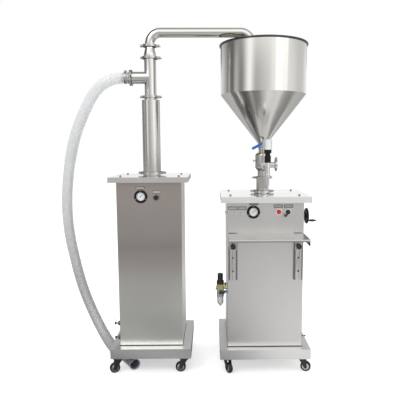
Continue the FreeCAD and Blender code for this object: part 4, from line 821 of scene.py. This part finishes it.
def boxInto(shape, low, high, slotIndex=0):
    corners = [shape.verts.new((x, y, z)) for x in (low[0], high[0]) for y in (low[1], high[1])
               for z in (low[2], high[2])]
    for quad in ((0, 1, 3, 2), (4, 6, 7, 5), (0, 4, 5, 1), (2, 3, 7, 6), (0, 2, 6, 4), (1, 5, 7, 3)):
        shape.faces.new([corners[k] for k in quad]).material_index = slotIndex


def finishMesh(shape, name, bevel):
    bmesh.ops.recalc_face_normals(shape, faces=shape.faces[:])
    if bevel:
        bmesh.ops.bevel(shape, geom=shape.edges[:], offset=bevel, segments=2, affect="EDGES",
                        clamp_overlap=True)
    mesh = bpy.data.meshes.new(name)
    shape.to_mesh(mesh)
    shape.free()
    return mesh


# Bare label plates, each with a dark printed border: centre x, centre z, width, height, face y, body
labelSettings = {
    "thickness": 0.0007,
    "border": 0.0022,
    "plates": {
        "pumpPlateLeft": (-0.317, 0.903, 0.045, 0.0165, -0.14, "pump_unit"),
        "pumpPlateRight": (-0.239, 0.883, 0.046, 0.0175, -0.14, "pump_unit"),
        "fillerPlateFlow": (0.120, 0.807, 0.044, 0.018, -0.1615, "filler_unit"),
        "fillerPlateSpeed": (0.165, 0.807, 0.042, 0.018, -0.1615, "filler_unit"),
        "fillerPlateGauge": (0.2195, 0.8265, 0.045, 0.009, -0.1615, "filler_unit"),
        "fillerPlateStop": (0.3355, 0.816, 0.043, 0.016, -0.1615, "filler_unit"),
        "fillerPlateMode": (0.384, 0.816, 0.046, 0.016, -0.1615, "filler_unit"),
    },
}


def makeLabels(s):
    for name, (x, z, width, height, face, body) in s["plates"].items():
        shape = bmesh.new()
        front = face - s["thickness"]
        boxInto(shape, (x - width / 2, front, z - height / 2), (x + width / 2, face, z + height / 2), 0)
        plate = finishMesh(shape, name, 0.0002)
        makePiece(name, plate, body, "labelPale")
        shape = bmesh.new()
        w, h, b = width / 2 - 0.0012, height / 2 - 0.0012, s["border"]
        low, high = front - 0.00015, front + 0.0001
        for x0, x1, z0, z1 in ((-w, w, h - b, h), (-w, w, -h, -h + b), (-w, -w + b, -h + b, h - b),
                               (w - b, w, -h + b, h - b)):
            boxInto(shape, (x + x0, low, z + z0), (x + x1, high, z + z1))
        makePiece(name + "Border", finishMesh(shape, name + "Border", 0), body, "labelGrey")


makeLabels(labelSettings)


# Dial marks: scale ticks, plain numbers and a needle on each gauge; angles in degrees
dialSettings = {"radius": 0.0170, "long": 0.0030, "short": 0.0016, "depth": 0.0021, "start": 225.0,
                "sweep": 270.0, "size": 0.0036, "steps": 30, "major": 3, "thin": 0.00028, "thick": 0.0005,
                "numbers": ("0", "2", "4", "6", "8", "10"), "numbersIn": 0.0064, "needle": 42.0,
                "needleRaise": 0.0006,
                "needleEnds": ((-0.006, -0.0011), (0.0135, -0.0005), (0.0135, 0.0005), (-0.006, 0.0011))}


def makeDial(name, centre, body, s):
    shape = bmesh.new()
    y = centre[1] - s["depth"]
    for step in range(s["steps"] + 1):
        angle = math.radians(s["start"] - s["sweep"] * step / s["steps"])
        out = Vector((math.cos(angle), 0, math.sin(angle)))
        between = step % s["major"]
        across = Vector((-out.z, 0, out.x)) * (s["thin"] if between else s["thick"])
        length = s["short"] if between else s["long"]
        near, far = out * (s["radius"] - length), out * s["radius"]
        corners = [shape.verts.new(Vector((centre[0], y, centre[2])) + at) for at in
                   (near - across, far - across, far + across, near + across)]
        shape.faces.new(corners)
    angle = math.radians(s["needle"])
    out = Vector((math.cos(angle), 0, math.sin(angle)))
    across = Vector((-math.sin(angle), 0, math.cos(angle)))
    hub = Vector((centre[0], y - s["needleRaise"], centre[2]))
    shape.faces.new([shape.verts.new(hub + out * reach + across * half) for reach, half in s["needleEnds"]])
    for index, text in enumerate(s["numbers"]):
        angle = math.radians(s["start"] - s["sweep"] * index / (len(s["numbers"]) - 1))
        curve = bpy.data.curves.new("dialText", "FONT")
        curve.body = text
        curve.size = s["size"]
        curve.align_x, curve.align_y = "CENTER", "CENTER"
        holder = bpy.data.objects.new("dialText", curve)
        scene.collection.objects.link(holder)
        reach = s["radius"] - s["numbersIn"]
        holder.matrix_world = (Matrix.Translation((centre[0] + reach * math.cos(angle), y,
                                                   centre[2] + reach * math.sin(angle)))
                               @ Matrix.Rotation(math.radians(90), 4, "X"))
        bpy.context.view_layer.update()
        letter = bpy.data.meshes.new_from_object(holder)
        letter.transform(holder.matrix_world)
        shape.from_mesh(letter)
        bpy.data.objects.remove(holder)
        bpy.data.meshes.remove(letter)
    mesh = bpy.data.meshes.new(name)
    shape.to_mesh(mesh)
    shape.free()
    makePiece(name, mesh, body, "labelGrey")


for node, centre in gaugeCentres.items():
    makeDial(node + "Marks", centre, node.split("_")[0] + "_unit", dialSettings)


# Rings: hub covers on the castors and bezels round the controls

def ringRows(inner, outer, near, far, soften=0.0004):
    return [(inner, near), (outer - soften, near), (outer, near + soften), (outer, far - soften),
            (outer - soften, far), (inner, far)]


hubSettings = {"inner": 0.0075, "outer": 0.0155, "near": 0.0091, "far": 0.0097, "soften": 0.0002}
for joint in frame["joints"]:
    if joint["child"] in wheelNames and "rear" not in joint["child"]:
        for side, ending in ((-1, "HubA"), (1, "HubB")):
            along = sorted((side * hubSettings["near"], side * hubSettings["far"]))
            rows = ringRows(hubSettings["inner"], hubSettings["outer"], *along, hubSettings["soften"])
            makeTurned(joint["child"] + ending, rows, joint["pos_m"], joint["axis"], joint["child"],
                       "ringSteel")

# Bezels: centre, inner and outer radius, body, finish
bezelSettings = {
    "buttonBezel": ((0.338, -0.1645, 0.789), 0.0112, 0.0158, "filler_unit", "dialWhite"),
    # The selector's white ring is a painted highlight, standing in for the gleam on its chrome ring
    "selectorBezel": ((0.381, -0.1645, 0.789), 0.0115, 0.0158, "filler_unit", "dialWhite"),
    "pumpKnobBezel": ((-0.242, -0.1430, 0.858), 0.0110, 0.0150, "pump_unit", "zincSteel"),
}
for name, (centre, inner, outer, body, finish) in bezelSettings.items():
    makeTurned(name, ringRows(inner, outer, -0.0002, 0.0008, 0.0003), centre, (0, -1, 0), body, finish)

# Dark line along the front and sides of each cabinet's foot, painted shade where the cabinet meets its tray:
# left, right, front y, body
footShadeSettings = {
    "height": 0.0032,
    "proud": 0.0012,
    "floor": 0.1241,
    "cabinets": {
        "pumpSeal": (-0.431, -0.123, -0.14, "pump_unit"),
        "fillerSeal": (0.096, 0.458, -0.1615, "filler_unit"),
    },
}


def makeFootShade(s):
    for name, (left, right, front, body) in s["cabinets"].items():
        shape = bmesh.new()
        low, high, out = s["floor"], s["floor"] + s["height"], s["proud"]
        boxInto(shape, (left - out, front - out, low), (right + out, front, high))
        for x0, x1 in ((left - out, left), (right, right + out)):
            boxInto(shape, (x0, front, low), (x1, -front, high))
        makePiece(name, finishMesh(shape, name, 0), body, "labelGrey")


makeFootShade(footShadeSettings)

print("small pieces made")


# Suction hose: a clear tube on its route, with both walls, open ends and painted shade on the bore at its mouth

hosePiece = {
    "radius": 0.027,
    "bore": 0.0225,
    "sides": 40,
    "mouth": 0.07,
    "route": [(-0.3842, 0, 1.432), (-0.4362, 0, 1.432), (-0.488, 0.001, 1.417), (-0.533, 0.004, 1.387),
              (-0.571, 0.010, 1.342), (-0.617, 0.022, 1.262), (-0.669, 0.038, 1.150), (-0.704, 0.058, 1.025),
              (-0.730, 0.080, 0.895), (-0.744, 0.103, 0.763), (-0.743, 0.127, 0.630), (-0.728, 0.150, 0.500),
              (-0.709, 0.168, 0.380), (-0.682, 0.177, 0.275), (-0.645, 0.172, 0.183), (-0.600, 0.144, 0.107),
              (-0.551, 0.092, 0.057), (-0.496, 0.022, 0.033), (-0.439, -0.038, 0.029),
              (-0.392, -0.089, 0.029), (-0.361, -0.147, 0.031)],
}


def splinePoints(route):
    data = bpy.data.curves.new("hoseRoute", "CURVE")
    data.dimensions = "3D"
    data.resolution_u = 10
    spline = data.splines.new("NURBS")
    spline.points.add(len(route) - 1)
    for point, place in zip(spline.points, route):
        point.co = (*place, 1.0)
    spline.order_u = 3
    spline.use_endpoint_u = True
    holder = bpy.data.objects.new("hoseRoute", data)
    scene.collection.objects.link(holder)
    bpy.context.view_layer.update()
    mesh = bpy.data.meshes.new_from_object(holder)
    points = [vertex.co.copy() for vertex in mesh.vertices]
    bpy.data.objects.remove(holder)
    bpy.data.meshes.remove(mesh)
    return points


def tubeFrames(points):
    # Carries one crosswise direction along the line so that the tube doesn't twist
    tangents = []
    for index in range(len(points)):
        before = points[max(index - 1, 0)]
        after = points[min(index + 1, len(points) - 1)]
        tangents.append((after - before).normalized())
    side = Vector((0, 1, 0))
    sides = []
    for tangent in tangents:
        side = (side - tangent * side.dot(tangent)).normalized()
        sides.append((tangent, side.copy(), tangent.cross(side)))
    return sides


def makeHose(s):
    points = splinePoints(s["route"])
    frames = tubeFrames(points)
    shape = bmesh.new()
    rings = []
    for radius in (s["radius"], s["bore"]):
        wall = []
        for point, (tangent, side, across) in zip(points, frames):
            ring = []
            for step in range(s["sides"]):
                angle = 2 * math.pi * step / s["sides"]
                ring.append(shape.verts.new(point + side * radius * math.cos(angle)
                                            + across * radius * math.sin(angle)))
            wall.append(ring)
        rings.append(wall)
    outer, inner = rings
    count = s["sides"]
    for step in range(count):
        after = (step + 1) % count
        for index in range(len(points) - 1):
            shape.faces.new((outer[index][step], outer[index][after], outer[index + 1][after],
                             outer[index + 1][step]))
            lining = shape.faces.new((inner[index][after], inner[index][step], inner[index + 1][step],
                                      inner[index + 1][after]))
            # The bore near the mouth gets the dark material: painted shade
            lining.material_index = 2 if (points[index] - points[-1]).length < s["mouth"] else 0
        for index, flip in ((0, False), (len(points) - 1, True)):
            face = [outer[index][step], inner[index][step], inner[index][after], outer[index][after]]
            shape.faces.new(face[::-1] if flip else face).material_index = 1 if flip else 0
    bmesh.ops.recalc_face_normals(shape, faces=shape.faces[:])
    mesh = bpy.data.meshes.new("suctionHose")
    shape.to_mesh(mesh)
    shape.free()
    for face in mesh.polygons:
        face.use_smooth = True
    for finish in ("hoseClear", "hoseRim", "hoseInside"):
        mesh.materials.append(mats[finish])
    hose = bpy.data.objects.new("suctionHose", mesh)
    scene.collection.objects.link(hose)
    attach(hose, "pump_unit")
    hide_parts("suction_hose")
    length = sum((b - a).length for a, b in zip(points, points[1:]))
    print("hose length", round(length, 3))


makeHose(hosePiece)
